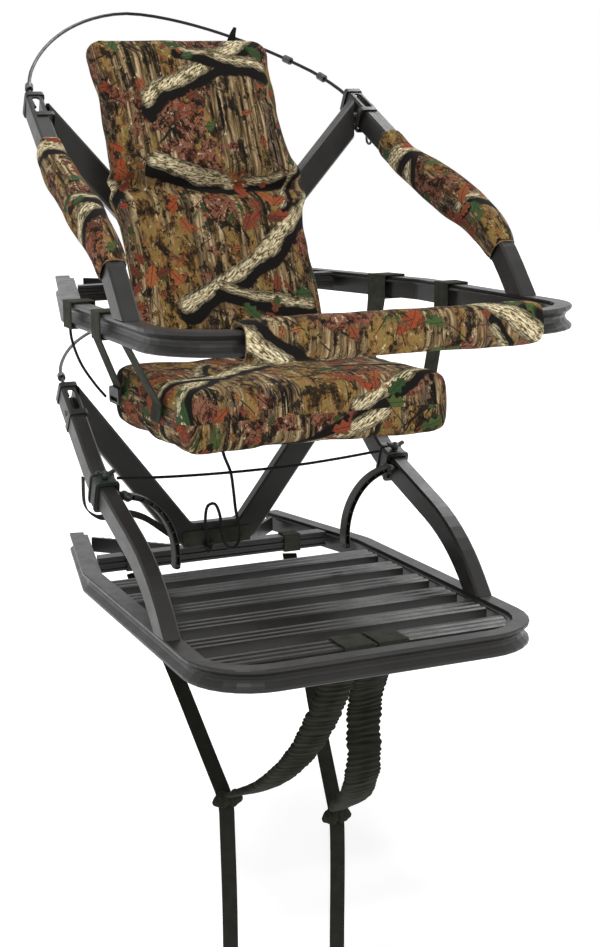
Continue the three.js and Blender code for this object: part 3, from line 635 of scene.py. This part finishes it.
def make_clamp_trim(side, sign):
    """Raised bands on the clamp, a lug for the hook's pin, and a wing knob with a round hub."""
    parts = []
    for y in (-0.0125, 0.0125):
        parts.append(shifted(hoop(0.0171, 0.0231, 0.0018, 0.004, PLASTIC), Matrix.Translation((0, y, 0))))
    lug = extrude("lug", superellipse(0.0060, 0.0085, 24, 4), -0.0045, 0.0045, 0.0008, PLASTIC)
    to_side = Matrix.Translation((-sign * 0.0175, -0.0155, -0.002)) @ Matrix.Rotation(math.radians(90), 4, "X")
    parts.append(shifted(lug, to_side))
    assembled(f"clamp_trim_{side}", parts, clamp_matrix(sign), "platform")
    outline = [(-5, 0), (5, 0), (6, 3), (15, 8.5), (14, 12), (11, 12), (4, 8), (-4, 8), (-11, 12), (-14, 12),
               (-15, 8.5), (-6, 3)]
    wings = extrude("wings", [(a * MM, b * MM) for a, b in outline], -0.0026, 0.0026, 0.0009, PLASTIC)
    shifted(wings, Matrix.Translation((0, 0, 0.0247)) @ Matrix.Rotation(math.radians(90), 4, "X"))
    hub = shifted(bar(0.0058, 0.0085, PLASTIC), Matrix.Translation((0, 0, 0.0290))
                  @ Matrix.Rotation(math.radians(90), 4, "X"))
    stud = shifted(bar(0.0030, 0.0105, STEEL), Matrix.Translation((0, 0, 0.0302))
                   @ Matrix.Rotation(math.radians(90), 4, "X"))
    knob = assembled(f"wing_nut_{side}", [wings, hub, stud], clamp_matrix(sign), f"wing_knob_{side}")
    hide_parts(f"wing_knob_{side}")


def arm_tip_matrix(tip, before, sign, back):
    """A frame on the arm's centre line, some way back from its tip, with Y along the arm."""
    heading = (tip - before).normalized()
    at = tip - heading * back
    tilt = math.atan2(heading.z, heading.y)
    return Matrix.Translation((sign * at.x, at.y, at.z)) @ Matrix.Rotation(tilt, 4, "X")


def make_arm_fittings():
    """Cast collars at the arm tips, bolts through them, and the eye under the seat's right tip."""
    tips = (("platform", "platform", vectors([(233, -8, 280.4), (233, -160, 168.4)])),
            ("seat", "seat_climber", vectors([(262, 8, 712.4), (262, -150, 622.4)])))
    for name, body, (tip, before) in tips:
        for side, sign in SIDES:
            parts = []
            for back, width, proud in ((0.0045, 0.009, 0.0016), (0.0640, 0.010, 0.0022)):
                band = hoop(ARM_HALF[0] + 0.0002, ARM_HALF[1] + 0.0002, proud, width, FRAME, 9.0)
                parts.append(shifted(band, arm_tip_matrix(tip, before, 1, back)))
            bolt = bar(0.0045, 0.0298, STEEL, 6)
            spot = arm_tip_matrix(tip, before, 1, 0.048)
            parts.append(shifted(bolt, spot @ Matrix.Rotation(math.radians(90), 4, "Z")))
            matrix = Matrix.Scale(sign, 4, (1, 0, 0))
            piece = assembled(f"{name}_tip_fitting_{side}", parts, matrix, body)
            if sign < 0:
                piece.data.flip_normals()
    ring = sweep("ring", [Vector((0.2660, -0.052, 0.652)) + Vector((0, math.cos(a) * 0.0088, math.sin(a) * 0.0088))
                          for a in np.linspace(0, math.tau, 25)], superellipse(0.0019, 0.0019, 10), STEEL,
                 Vector((1, 0, 0)), caps=False)
    shank = sweep("shank", vectors([(266, -48, 660), (266, -43, 670), (266, -38, 680)]),
                  superellipse(0.0030, 0.0024, 12), STEEL, Vector((1, 0, 0)))
    assembled("seat_eye_right", [ring, shank], Matrix(), "seat_climber")


# ---- cords and straps -----------------------------------------------------------------------
STIRRUPS = (
    {"side": "left", "rear": -136, "front": -20, "join": (-82, -265, -318), "tail": -640, "length": 0.713,
     "foot": [(-552, -25), (-537, -48), (-508, -105), (-456, -180), (-380, -250), (-279, -306)]},
    {"side": "right", "rear": 136, "front": 30, "join": (83, -300, -361), "tail": -650, "length": 0.736,
     "foot": [(-549, -25), (-510, -56), (-470, -105), (-458, -155), (-458, -205), (-428, -262), (-315, -343)]},
)
SLAT_Y = -566
REAR_Y, STRAP_TOP = -16.65, -19


def cord_piece(name, points, radius, body, **facts):
    route = evenly(smooth_route(vectors(points)), 0.004)
    obj = sweep(f"{name}_line", route, superellipse(radius * MM, radius * MM, 12), BRAID, Vector((0.3, 1, 0.2)),
                body)
    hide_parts(name)
    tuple(route[0])
    return obj


def knot(name, centre, radius, body):
    """A tight overhand knot: one turn of cord wound three times round itself."""
    route = []
    for k in range(61):
        t = math.tau * k / 60
        route.append(centre + Vector(((math.sin(t) + 2 * math.sin(2 * t)) * 0.0026, math.sin(3 * t) * 0.0026,
                                      (math.cos(t) - 2 * math.cos(2 * t)) * 0.0030)))
    return sweep(name, route[:-1], superellipse(radius, radius, 10), BRAID, Vector((0.2, 1, 0.3)), body)


def make_cords():
    bungee = [(-214, -188, 176), (-150, -188, 171), (-75, -188, 168), (0, -188, 167), (75, -188, 168),
              (150, -188, 172), (214, -188, 177)]
    cord_piece("bungee_cord", bungee, 2.2, "platform", length=0.4286, far_end="object", stiffness="medium",
               lay="taut")
    tether = [(-6, -46, 414), (-8, -50, 385), (-7, -52, 340), (-5, -52, 290), (-3, -51, 240), (2, -50, 200),
              (10, -48, 165), (22, -46, 135), (27, -44, 105), (31, -43, 70), (37, -43, 42), (36, -44, 22),
              (25, -46, 10), (12, -46, 16), (5, -44, 38), (3, -44, 66), (-6, -44, 86), (-17, -44, 84),
              (-22, -44, 64), (-20, -43, 40), (-17, -42, 22)]
    end_knot = knot("tether_knot", Vector((-0.0168, -0.0418, 0.0170)), 0.0024, "platform")
    route = evenly(smooth_route(vectors(tether)), 0.004)
    line = sweep("tether_cord_line", route, superellipse(0.0025, 0.0025, 12), BRAID, Vector((0.3, 1, 0.2)), None)
    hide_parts("tether_cord")
    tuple(route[0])
    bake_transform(line)
    cord_piece("side_cord", [(-284, -214, 408), (-282, -213, 388), (-268, -205, 352), (-244, -192, 318),
                             (-224, -178, 296)], 2.0, "seat_climber", length=0.136, far_end="object",
               stiffness="limp", lay="taut")
    loose = [(-64, -39, 31), (-97, -47, 56), (-130, -62, 80), (-168, -92, 98), (-205, -130, 106), (-240, -164, 116),
             (-260, -176, 136), (-262, -176, 180)]
    route = evenly(smooth_route(vectors(loose)), 0.005)
    tail = sweep("loose_strap_tape", route, flat_section(0.0125, 0.0022), WEB,
                 lambda t: Vector((0, 0.25 + t, 1 - t)), "platform")
    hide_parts("loose_strap")
    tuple(route[0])


def make_stirrup(s):
    """One sling: a webbing strap from the crossbar, and a shirred elastic loop from the front slat."""
    join_x, join_y, join_z = s["join"]
    top = Vector((s["rear"], REAR_Y, STRAP_TOP))
    bend = Vector((join_x, join_y, join_z))
    foot = Vector((join_x, join_y - 1, s["tail"]))
    down, drop = (bend - top).normalized(), (foot - bend).normalized()
    corner = [bend - down * 22 * (1 - k / 6) ** 2 + drop * 22 * (k / 6) ** 2 for k in range(7)]
    route = evenly([p * MM for p in (top, *corner, foot)], 0.006)

    def slack(p, t):
        return p + Vector((0.0016 * math.sin(9 * t + join_x), 0.002 * math.sin(7 * t), 0)) * math.sin(math.pi * t)

    route = [slack(p, i / (len(route) - 1)) for i, p in enumerate(route)]
    strap = sweep(f"stirrup_tape_{s['side']}", route, flat_section(0.025, 0.0021), WEB, Vector((1, 0, 0)),
                  f"stirrup_{s['side']}")
    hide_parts(f"stirrup_strap_{s['side']}")
    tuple(route[0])

    def across(y):
        return join_x + (y - join_y) * (s["front"] - join_x) / (SLAT_Y - join_y)

    path = evenly(smooth_route([Vector((across(y), y, z)) * MM for y, z in s["foot"]]), 0.0016)
    seed = 3.0 if s["side"] == "left" else 9.0

    def ruffle(i, t):
        """Deep gathers across the band, flatter where it narrows into its sewn end."""
        gathered = min(1.0, max(0.25, (0.9 - t) / 0.15)) * min(1.0, t / 0.03 + 0.4)
        loose = min(1.0, max(0.0, (t - 0.52) / 0.2))
        ring = math.sin(i * 1.05 + 3.4 * lump(Vector((i * 0.10, 0, 0)), 1.0, seed))
        ring = math.copysign(abs(ring) ** 0.7, ring) * (1 - 0.75 * loose)
        tooth = 2 * abs((i * 0.19 + lump(Vector((i * 0.05, 0, 0)), 1.0, seed + 2)) % 1.0 - 0.5) - 0.5
        half = 0.0262 * (1 - 0.50 * max(0.0, (t - 0.80) / 0.20) ** 2)
        thick = 0.0066 * (1 - 0.45 * max(0.0, (t - 0.85) / 0.15))
        points = []
        for k, (a, b) in enumerate(superellipse(half, thick, 36, 2.8)):
            wave = lump(Vector((k * 0.16, i * 0.09, 0)), 1.0, seed + 5)
            depth = 0.0019 * gathered * (ring + 0.9 * wave)
            stretch = 1 + depth / max(1e-4, math.hypot(a, b))
            edge = 0.05 * gathered * (ring + 1.6 * wave) + 0.24 * loose * tooth * (1 if a > 0 else 0.6)
            points.append((a * (1 + edge), b * stretch))
        return points

    sleeve = sweep(f"stirrup_sleeve_{s['side']}", path, ruffle, SHIRRED, Vector((1, 0, 0)),
                   f"stirrup_{s['side']}")
    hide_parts(f"stirrup_elastic_{s['side']}")
    make_stirrup_knot(s, Vector((join_x, join_y, join_z)) * MM, seed)


def make_stirrup_knot(s, centre, seed):
    """The sleeve's end, wrapped round the strap and sewn: a crumpled bow a little wider than the strap."""
    route = [centre + Vector((x * MM, -2 * MM, (2 - 0.008 * x * x) * MM)) for x in np.linspace(-24, 24, 25)]

    def crumple(i, t):
        width = abs(2 * t - 1)
        flare = 0.0062 + 0.0034 * math.sin(math.pi * min(1.0, width * 1.25)) - 0.004 * max(0.0, width - 0.8) / 0.2
        return [(a * (1 + 0.30 * lump(Vector((k * 0.55, i * 0.30, 0)), 1.0, seed)),
                 b * (1 + 0.30 * lump(Vector((k * 0.55, i * 0.30, 4)), 1.0, seed)))
                for k, (a, b) in enumerate(superellipse(flare * 0.8, flare * 1.35, 24, 2.2))]

    sweep(f"stirrup_knot_{s['side']}", route, crumple, SHIRRED, Vector((0, 1, 0)), f"stirrup_{s['side']}")


# ---- padded pieces --------------------------------------------------------------------------
def rim_spaced(half, radius, rows, inner, power):
    """Places across a pad from -half to half: rows round each rim, then even ones between."""
    insets = [radius * (1 - math.cos(math.pi / 2 * k / rows) ** (2 / power)) for k in range(rows + 1)]
    left = [-half + inset for inset in insets]
    middle = list(np.linspace(left[-1], -left[-1], inner + 1))[1:-1]
    return [*left, *middle, *[-x for x in reversed(left)]]


def rim_height(inset, radius, power):
    """Share of the full thickness at a distance in from the rim."""
    return (1 - (1 - min(1.0, max(0.0, inset) / radius)) ** power) ** (1 / power)


def cushion(name, place, thickness, us, vs, print_at=(0.0, 0.0)):
    """A closed pad: two faces that meet at a rim. place(u, v, w) sets a point, w its offset from the middle."""
    across, along = len(us) - 1, len(vs) - 1
    points, index = [], {}
    for side in (1, -1):
        for j, v in enumerate(vs):
            for i, u in enumerate(us):
                rim = i in (0, across) or j in (0, along)
                if rim and side < 0:
                    index[side, i, j] = index[1, i, j]
                    continue
                index[side, i, j] = len(points)
                points.append(place(u, v, 0.0 if rim else side * thickness(u, v, side)))
    middle_u, middle_v = across // 2, along // 2
    faces, uvs = [], []
    for side in (1, -1):
        def spot(i, j):
            return points[index[side, i, j]]

        run_u = np.array([np.concatenate(([0], np.cumsum([(spot(i + 1, j) - spot(i, j)).length
                                                          for i in range(across)]))) for j in range(along + 1)])
        run_u -= run_u[:, [middle_u]]
        run_v = np.concatenate(([0], np.cumsum([(spot(middle_u, j + 1) - spot(middle_u, j)).length
                                                for j in range(along)])))
        run_v -= run_v[middle_v]
        for j in range(along):
            for i in range(across):
                corners = ((i, j), (i + 1, j), (i + 1, j + 1), (i, j + 1))
                if side < 0:
                    corners = corners[::-1]
                faces.append(tuple(index[side, a, b] for a, b in corners))
                uvs.append(tuple((print_at[0] + side * run_u[b, a] + (0 if side > 0 else 0.9),
                                  print_at[1] + run_v[b]) for a, b in corners))
    return mesh_object(name, points, faces, CAMO, uvs)


def puff(obj, pressure, cap, pinned=None, shrink=-0.03, frames=20):
    """Blows the cover up over its filling by a short cloth simulation; no point moves more than cap."""
    rest = np.array([v.co for v in obj.data.vertices])
    cloth = obj.modifiers.new("cloth", "CLOTH")
    settings = cloth.settings
    settings.quality, settings.mass = 6, 0.3
    settings.tension_stiffness = settings.compression_stiffness = 12
    settings.shear_stiffness, settings.bending_stiffness = 4, 0.15
    settings.use_pressure, settings.uniform_pressure_force = True, pressure
    settings.shrink_min = shrink
    settings.effector_weights.gravity = 0
    if pinned is not None:
        group = obj.vertex_groups.new(name="pinned")
        for k, weight in enumerate(pinned):
            if weight > 0:
                group.add([k], float(weight), "REPLACE")
        settings.vertex_group_mass = group.name
    cloth.point_cache.frame_end = frames
    scene = bpy.context.scene
    for number in range(1, frames + 1):
        scene.frame_set(number)
    shaped = obj.evaluated_get(bpy.context.evaluated_depsgraph_get()).data
    moved = np.array([v.co for v in shaped.vertices]) - rest
    length = np.linalg.norm(moved, axis=1, keepdims=True)
    moved *= np.minimum(1, cap / np.maximum(length, 1e-9))
    obj.modifiers.remove(cloth)
    obj.data.vertices.foreach_set("co", (rest + moved).ravel())
    scene.frame_set(1)


def fine(obj, levels=1):
    surface = obj.modifiers.new("surface", "SUBSURF")
    surface.levels = surface.render_levels = levels


BACK_LEAN = math.radians(13)
BACK_FOOT = Vector((0, -0.140, 0.346))
BACK_HEIGHT, BACK_SEAM = 0.474, 0.245


def back_point(x, height, depth):
    """A point of the leaning back: height along the panel, depth towards the hunter."""
    c, s = math.cos(BACK_LEAN), math.sin(BACK_LEAN)
    return BACK_FOOT + Vector((x, height * s - depth * c, height * c + depth * s))


def make_back():
    """One cover over both panels, drawn in at the seam between them."""
    def seam(height, spread):
        return math.exp(-(((height - BACK_SEAM) / spread) ** 2))

    def outline(height, u):
        lower = height < BACK_SEAM
        share = height / BACK_SEAM if lower else (height - BACK_SEAM) / (BACK_HEIGHT - BACK_SEAM)
        half = 0.152 + 0.002 * share if lower else 0.153 - 0.011 * share
        centre = -0.004 - (0.021 * share if lower else 0.021 + 0.025 * share)
        radius = 0.026
        near = min(height, BACK_HEIGHT - height)
        if near < radius:
            half -= radius - math.sqrt(max(0.0, radius ** 2 - (radius - near) ** 2))
        flare = 0.009 * seam(height, 0.045) if u > 0 else 0.004 * seam(height, 0.03)
        ripple = 0.0022 * lump(Vector((0, height * 26, 0)), 1.0, 5.0 + (u > 0))
        return centre, half + flare + ripple - 0.009 * seam(height, 0.008)

    def place(u, v, w):
        centre, half = outline(v, u)
        return back_point(centre + u * half, v, w)

    def thickness(u, v, side):
        edge = rim_height((1 - abs(u)) * 0.15, 0.024, 2.3) * rim_height(min(v, BACK_HEIGHT - v), 0.024, 2.3)
        crown = 0.0205 + 0.004 * math.cos(u * math.pi / 2)
        crease = 1 - (0.94 if side > 0 else 0.4) * seam(v + 0.004 * math.sin(u * 2.2), 0.0115)
        crumple = 1 + 0.14 * lump(Vector((u * 2.6, v * 20, side)), 1.0, 2.0)
        return crown * edge * crease * crumple

    us = [u / 0.15 for u in rim_spaced(0.15, 0.024, 5, 36, 2.3)]
    vs = [v + BACK_HEIGHT / 2 for v in rim_spaced(BACK_HEIGHT / 2, 0.024, 5, 60, 2.3)]
    obj = cushion("back_cushion", place, thickness, us, vs, (0.11, 0.24))
    up = Vector((0, math.sin(BACK_LEAN), math.cos(BACK_LEAN)))
    puff(obj, 3.0, 0.008, [min(1.0, 1.6 * seam((p.co - BACK_FOOT).dot(up), 0.011)) for p in obj.data.vertices])
    fine(obj)
    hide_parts("back_lower", "back_upper")
    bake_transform(obj)


def make_back_trim():
    """A dark binding behind the top edge, and the folded tail of the strap that holds the back up."""
    xs = np.linspace(-0.168, 0.068, 40)
    route = [back_point(x, BACK_HEIGHT - 0.0085 + 0.0016 * lump(Vector((x * 40, 0, 0)), 1.0, 8.0), -0.008) for x in xs]
    section = superellipse(0.0032, 0.0075, 16, 2.6)
    sweep("back_binding", route, section, WEB, Vector((0, 0, 1)), "back_upper")
    tail = smooth_route([back_point(0.052, BACK_HEIGHT - 0.045, -0.034), back_point(0.052, BACK_HEIGHT - 0.008, -0.031),
                         back_point(0.053, BACK_HEIGHT + 0.008, -0.022), back_point(0.057, BACK_HEIGHT + 0.019, -0.018)])
    sweep("back_strap_tail", evenly(tail, 0.003),
          lambda i, t: superellipse(0.0095 * (1 - 0.75 * max(0.0, t - 0.55) / 0.45), 0.0011, 20, 4),
          WEB, Vector((1, 0, 0)), "back_upper")


def make_seat():
    """A boxed seat: near-vertical sides, crowned faces and rounded corners in plan."""
    low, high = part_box("seat_pad")
    centre, half = (low + high) / 2, (high - low) / 2
    radius, power, corner = 0.015, 3.0, 0.024

    def place(u, v, w):
        near = half.y - abs(v)
        width = half.x + 0.001
        if near < corner:
            width -= corner - math.sqrt(max(0.0, corner ** 2 - (corner - near) ** 2))
        return centre + Vector((u * width, v * 0.99, w))

    def thickness(u, v, side):
        edge = rim_height((1 - abs(u)) * half.x, radius, power) * rim_height(half.y - abs(v), radius, power)
        body = 0.0375 + 0.003 * math.cos(u * math.pi / 2) * math.cos(v / half.y * math.pi / 2)
        return body * edge * (1 + 0.07 * lump(Vector((u * 3.4, v * 16, side)), 1.0, 7.0))

    us = [u / half.x for u in rim_spaced(half.x, radius, 5, 50, power)]
    vs = rim_spaced(half.y, radius, 5, 38, power)
    obj = cushion("seat_cushion", place, thickness, us, vs, (0.35, 0.9))
    puff(obj, 3.0, 0.007)
    fine(obj)
    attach(obj, "seat_climber")
    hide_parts("seat_pad")


SEAT_ARM_X, SEAT_TIP_X, SEAT_ARM_FRONT, SEAT_ARM_RUN = 0.2875, 0.262, -0.474, 0.482


def arm_x(y):
    return SEAT_ARM_X + (SEAT_TIP_X - SEAT_ARM_X) * ((y - SEAT_ARM_FRONT) / SEAT_ARM_RUN) ** 2


def make_arm_cover(side, sign):
    """A loose quilted sleeve over the arm, gathered at both hems."""
    bends = vectors([(0, -474, 442.4), (0, -399, 531.5), (0, -150, 622.4), (0, 8, 712.4)])
    line = [p for p in evenly(filleted(bends, (0.275, 0.160)), 0.005) if -0.4245 < p.y < -0.1035]
    route = [Vector((sign * arm_x(p.y), p.y, p.z)) for p in line]
    last = len(route) - 1
    seed = 4.0 + sign

    def section(i, t):
        swell = 0.90 + 0.15 * math.sin(math.pi * min(1.0, t * 1.1)) + 0.17 * lump(Vector((t * 3.6, 0, 0)), 1.0, seed)
        hem = min(i, last - i)
        tuck = (0.84, 0.93, 0.98)[hem] if hem < 3 else 1.0
        points = []
        for k, (a, b) in enumerate(superellipse(0.0215 * swell, 0.0265 * swell, 32, 2.5)):
            fold = lump(Vector((math.cos(math.tau * k / 32) * 1.6, math.sin(math.tau * k / 32) * 1.6, t * 6.5)), 1.0, seed)
            gather = (math.sin(k * 2.4 + 5 * fold) * 0.035 * math.exp(-hem / 3.0))
            r = tuck * (1 + 0.085 * fold + gather)
            points.append((max(abs(a * r), 0.0) * math.copysign(1, a), b * r + 0.001))
        return points

    shell = sweep(f"armrest_sleeve_{side}", route, section, CAMO, Vector((1, 0, 0)), None, caps=False,
                  along_offset=0.33 + 0.41 * (sign + 1))
    close_hems(shell, 32, last, [(0.0148, 0.0200)] * 2, route)
    fine(shell)
    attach(shell, "seat_climber")
    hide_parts(f"armrest_cover_{side}")


def close_hems(obj, count, last, bores, route, depth=0.006):
    """Turns each open end of a sleeve in, down to its bore, and a little way inside."""
    mesh = obj.data
    points = [v.co.copy() for v in mesh.vertices]
    faces = [tuple(p.vertices) for p in mesh.polygons]
    layer = mesh.uv_layers["print"].data
    uvs = [tuple(tuple(layer[k].uv) for k in p.loop_indices) for p in mesh.polygons]
    for end, (half_a, half_b) in zip((0, last), bores):
        inward = (route[1] - route[0] if end == 0 else route[-2] - route[-1]).normalized()
        centre = route[0 if end == 0 else -1]
        width = Vector((1, 0, 0)) if abs(inward.x) < 0.9 else Vector((0, 1, 0))
        width = (width - inward * width.dot(inward)).normalized()
        up = (inward.cross(width) * (-1 if end else 1)).normalized()
        base = end * count
        ring = [points[base + k] for k in range(count)]
        rows = [list(range(base, base + count))]
        for share, sink in ((0.5, 0.0005), (1.0, 0.002), (1.0, depth + 0.012)):
            row = []
            for k, (a, b) in enumerate(superellipse(half_a, half_b, count, 6)):
                bore = centre + width * a + up * b
                row.append(len(points))
                points.append(ring[k].lerp(bore, share) + inward * sink)
            rows.append(row)
        for one, two in zip(rows, rows[1:]):
            for k in range(count):
                n = (k + 1) % count
                quad = (one[n], one[k], two[k], two[n]) if end == 0 else (one[k], one[n], two[n], two[k])
                faces.append(quad)
                uvs.append(tuple((0.02 * (q % count) / count * 6, 0.01 * (q // count)) for q in quad))
    fresh = bpy.data.meshes.new(mesh.name)
    fresh.from_pydata([tuple(p) for p in points], [], faces)
    fresh.uv_layers.new(name="print").data.foreach_set(
        "uv", np.array([uv for face in uvs for uv in face], np.float32).ravel())
    fresh.materials.append(CAMO)
    fresh.polygons.foreach_set("use_smooth", [True] * len(fresh.polygons))
    obj.data = fresh


def make_bar_cover():
    """The padded sleeve on the front rail."""
    low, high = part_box("front_bar_cover")
    centre = (low + high) / 2
    half_y, half_z = (high.y - low.y) / 2, (high.z - low.z) / 2
    route = evenly([Vector((low.x, centre.y, centre.z)), Vector((high.x, centre.y, centre.z))], 0.006)
    last = len(route) - 1

    def section(i, t):
        hem = min(i, last - i)
        tuck = (0.90, 0.965, 0.99)[hem] if hem < 3 else 1.0
        swell = 0.97 + 0.03 * lump(Vector((t * 5, 0, 0)), 1.0, 11.0)
        points = []
        for k, (a, b) in enumerate(superellipse(half_y, half_z, 36, 2.7)):
            fold = lump(Vector((math.cos(math.tau * k / 36) * 1.3, math.sin(math.tau * k / 36) * 1.3, t * 13)), 1.0, 12.0)
            r = tuck * (swell + 0.035 * fold)
            points.append((a * r, b * r))
        return points

    shell = sweep("front_bar_sleeve", route, section, CAMO, Vector((0, 1, 0)), None, caps=False)
    layer = shell.data.uv_layers["print"].data
    for loop in layer:
        loop.uv = (loop.uv[1] + 0.62, loop.uv[0] + 0.45)
    close_hems(shell, 36, last, [(0.0165, 0.0170)] * 2, route)
    fine(shell)
    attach(shell, "seat_climber")
    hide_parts("front_bar_cover")


# ---- stage ----------------------------------------------------------------------------------
def make_stage():
    size, floor_z = 14.0, -0.72
    g = Graph("pale_floor", (0.94, 0.94, 0.94), 0.9)
    g.shader.inputs["Emission Color"].default_value = (1, 1, 1, 1)
    g.shader.inputs["Emission Strength"].default_value = 0.32
    floor = mesh_object("floor", [(-size, -size, floor_z), (size, -size, floor_z), (size, size, floor_z),
                                  (-size, size, floor_z)], [(0, 1, 2, 3)], g.material)
    world = bpy.data.worlds.new("studio")
    world.use_nodes = True
    tree = world.node_tree
    lit, seen = tree.nodes["Background"], tree.nodes.new("ShaderNodeBackground")
    lit.inputs["Color"].default_value = seen.inputs["Color"].default_value = (1, 1, 1, 1)
    lit.inputs["Strength"].default_value, seen.inputs["Strength"].default_value = 0.36, 1.0
    mixed, ray = tree.nodes.new("ShaderNodeMixShader"), tree.nodes.new("ShaderNodeLightPath")
    tree.links.new(ray.outputs["Is Diffuse Ray"], mixed.inputs[0])
    tree.links.new(seen.outputs[0], mixed.inputs[1])
    tree.links.new(lit.outputs[0], mixed.inputs[2])
    tree.links.new(mixed.outputs[0], tree.nodes["World Output"].inputs[0])
    bpy.context.scene.world = world
    lights = (((-1.6, -2.4, 4.0), 2.2, 18), ((2.8, -1.8, 1.6), 0.5, 30), ((2.2, 1.6, 2.8), 1.0, 24))
    for k, (spot, power, spread) in enumerate(lights):
        data = bpy.data.lights.new(f"studio_{k}", "SUN")
        data.energy, data.angle = power, math.radians(spread)
        light = bpy.data.objects.new(f"studio_{k}", data)
        light.rotation_euler = (-Vector(spot)).to_track_quat("-Z", "Y").to_euler()
        bpy.context.scene.collection.objects.link(light)
    bpy.context.scene.view_settings.view_transform = "Standard"


make_camera()
dress_frame()
make_arm_fittings()
for hook_side, hook_sign in SIDES:
    make_hook(hook_side, hook_sign)
    make_clamp_trim(hook_side, hook_sign)
make_cords()
for stirrup in STIRRUPS:
    make_stirrup(stirrup)
make_back()
make_back_trim()
make_seat()
for cover_side, cover_sign in SIDES:
    make_arm_cover(cover_side, cover_sign)
make_bar_cover()
make_stage()
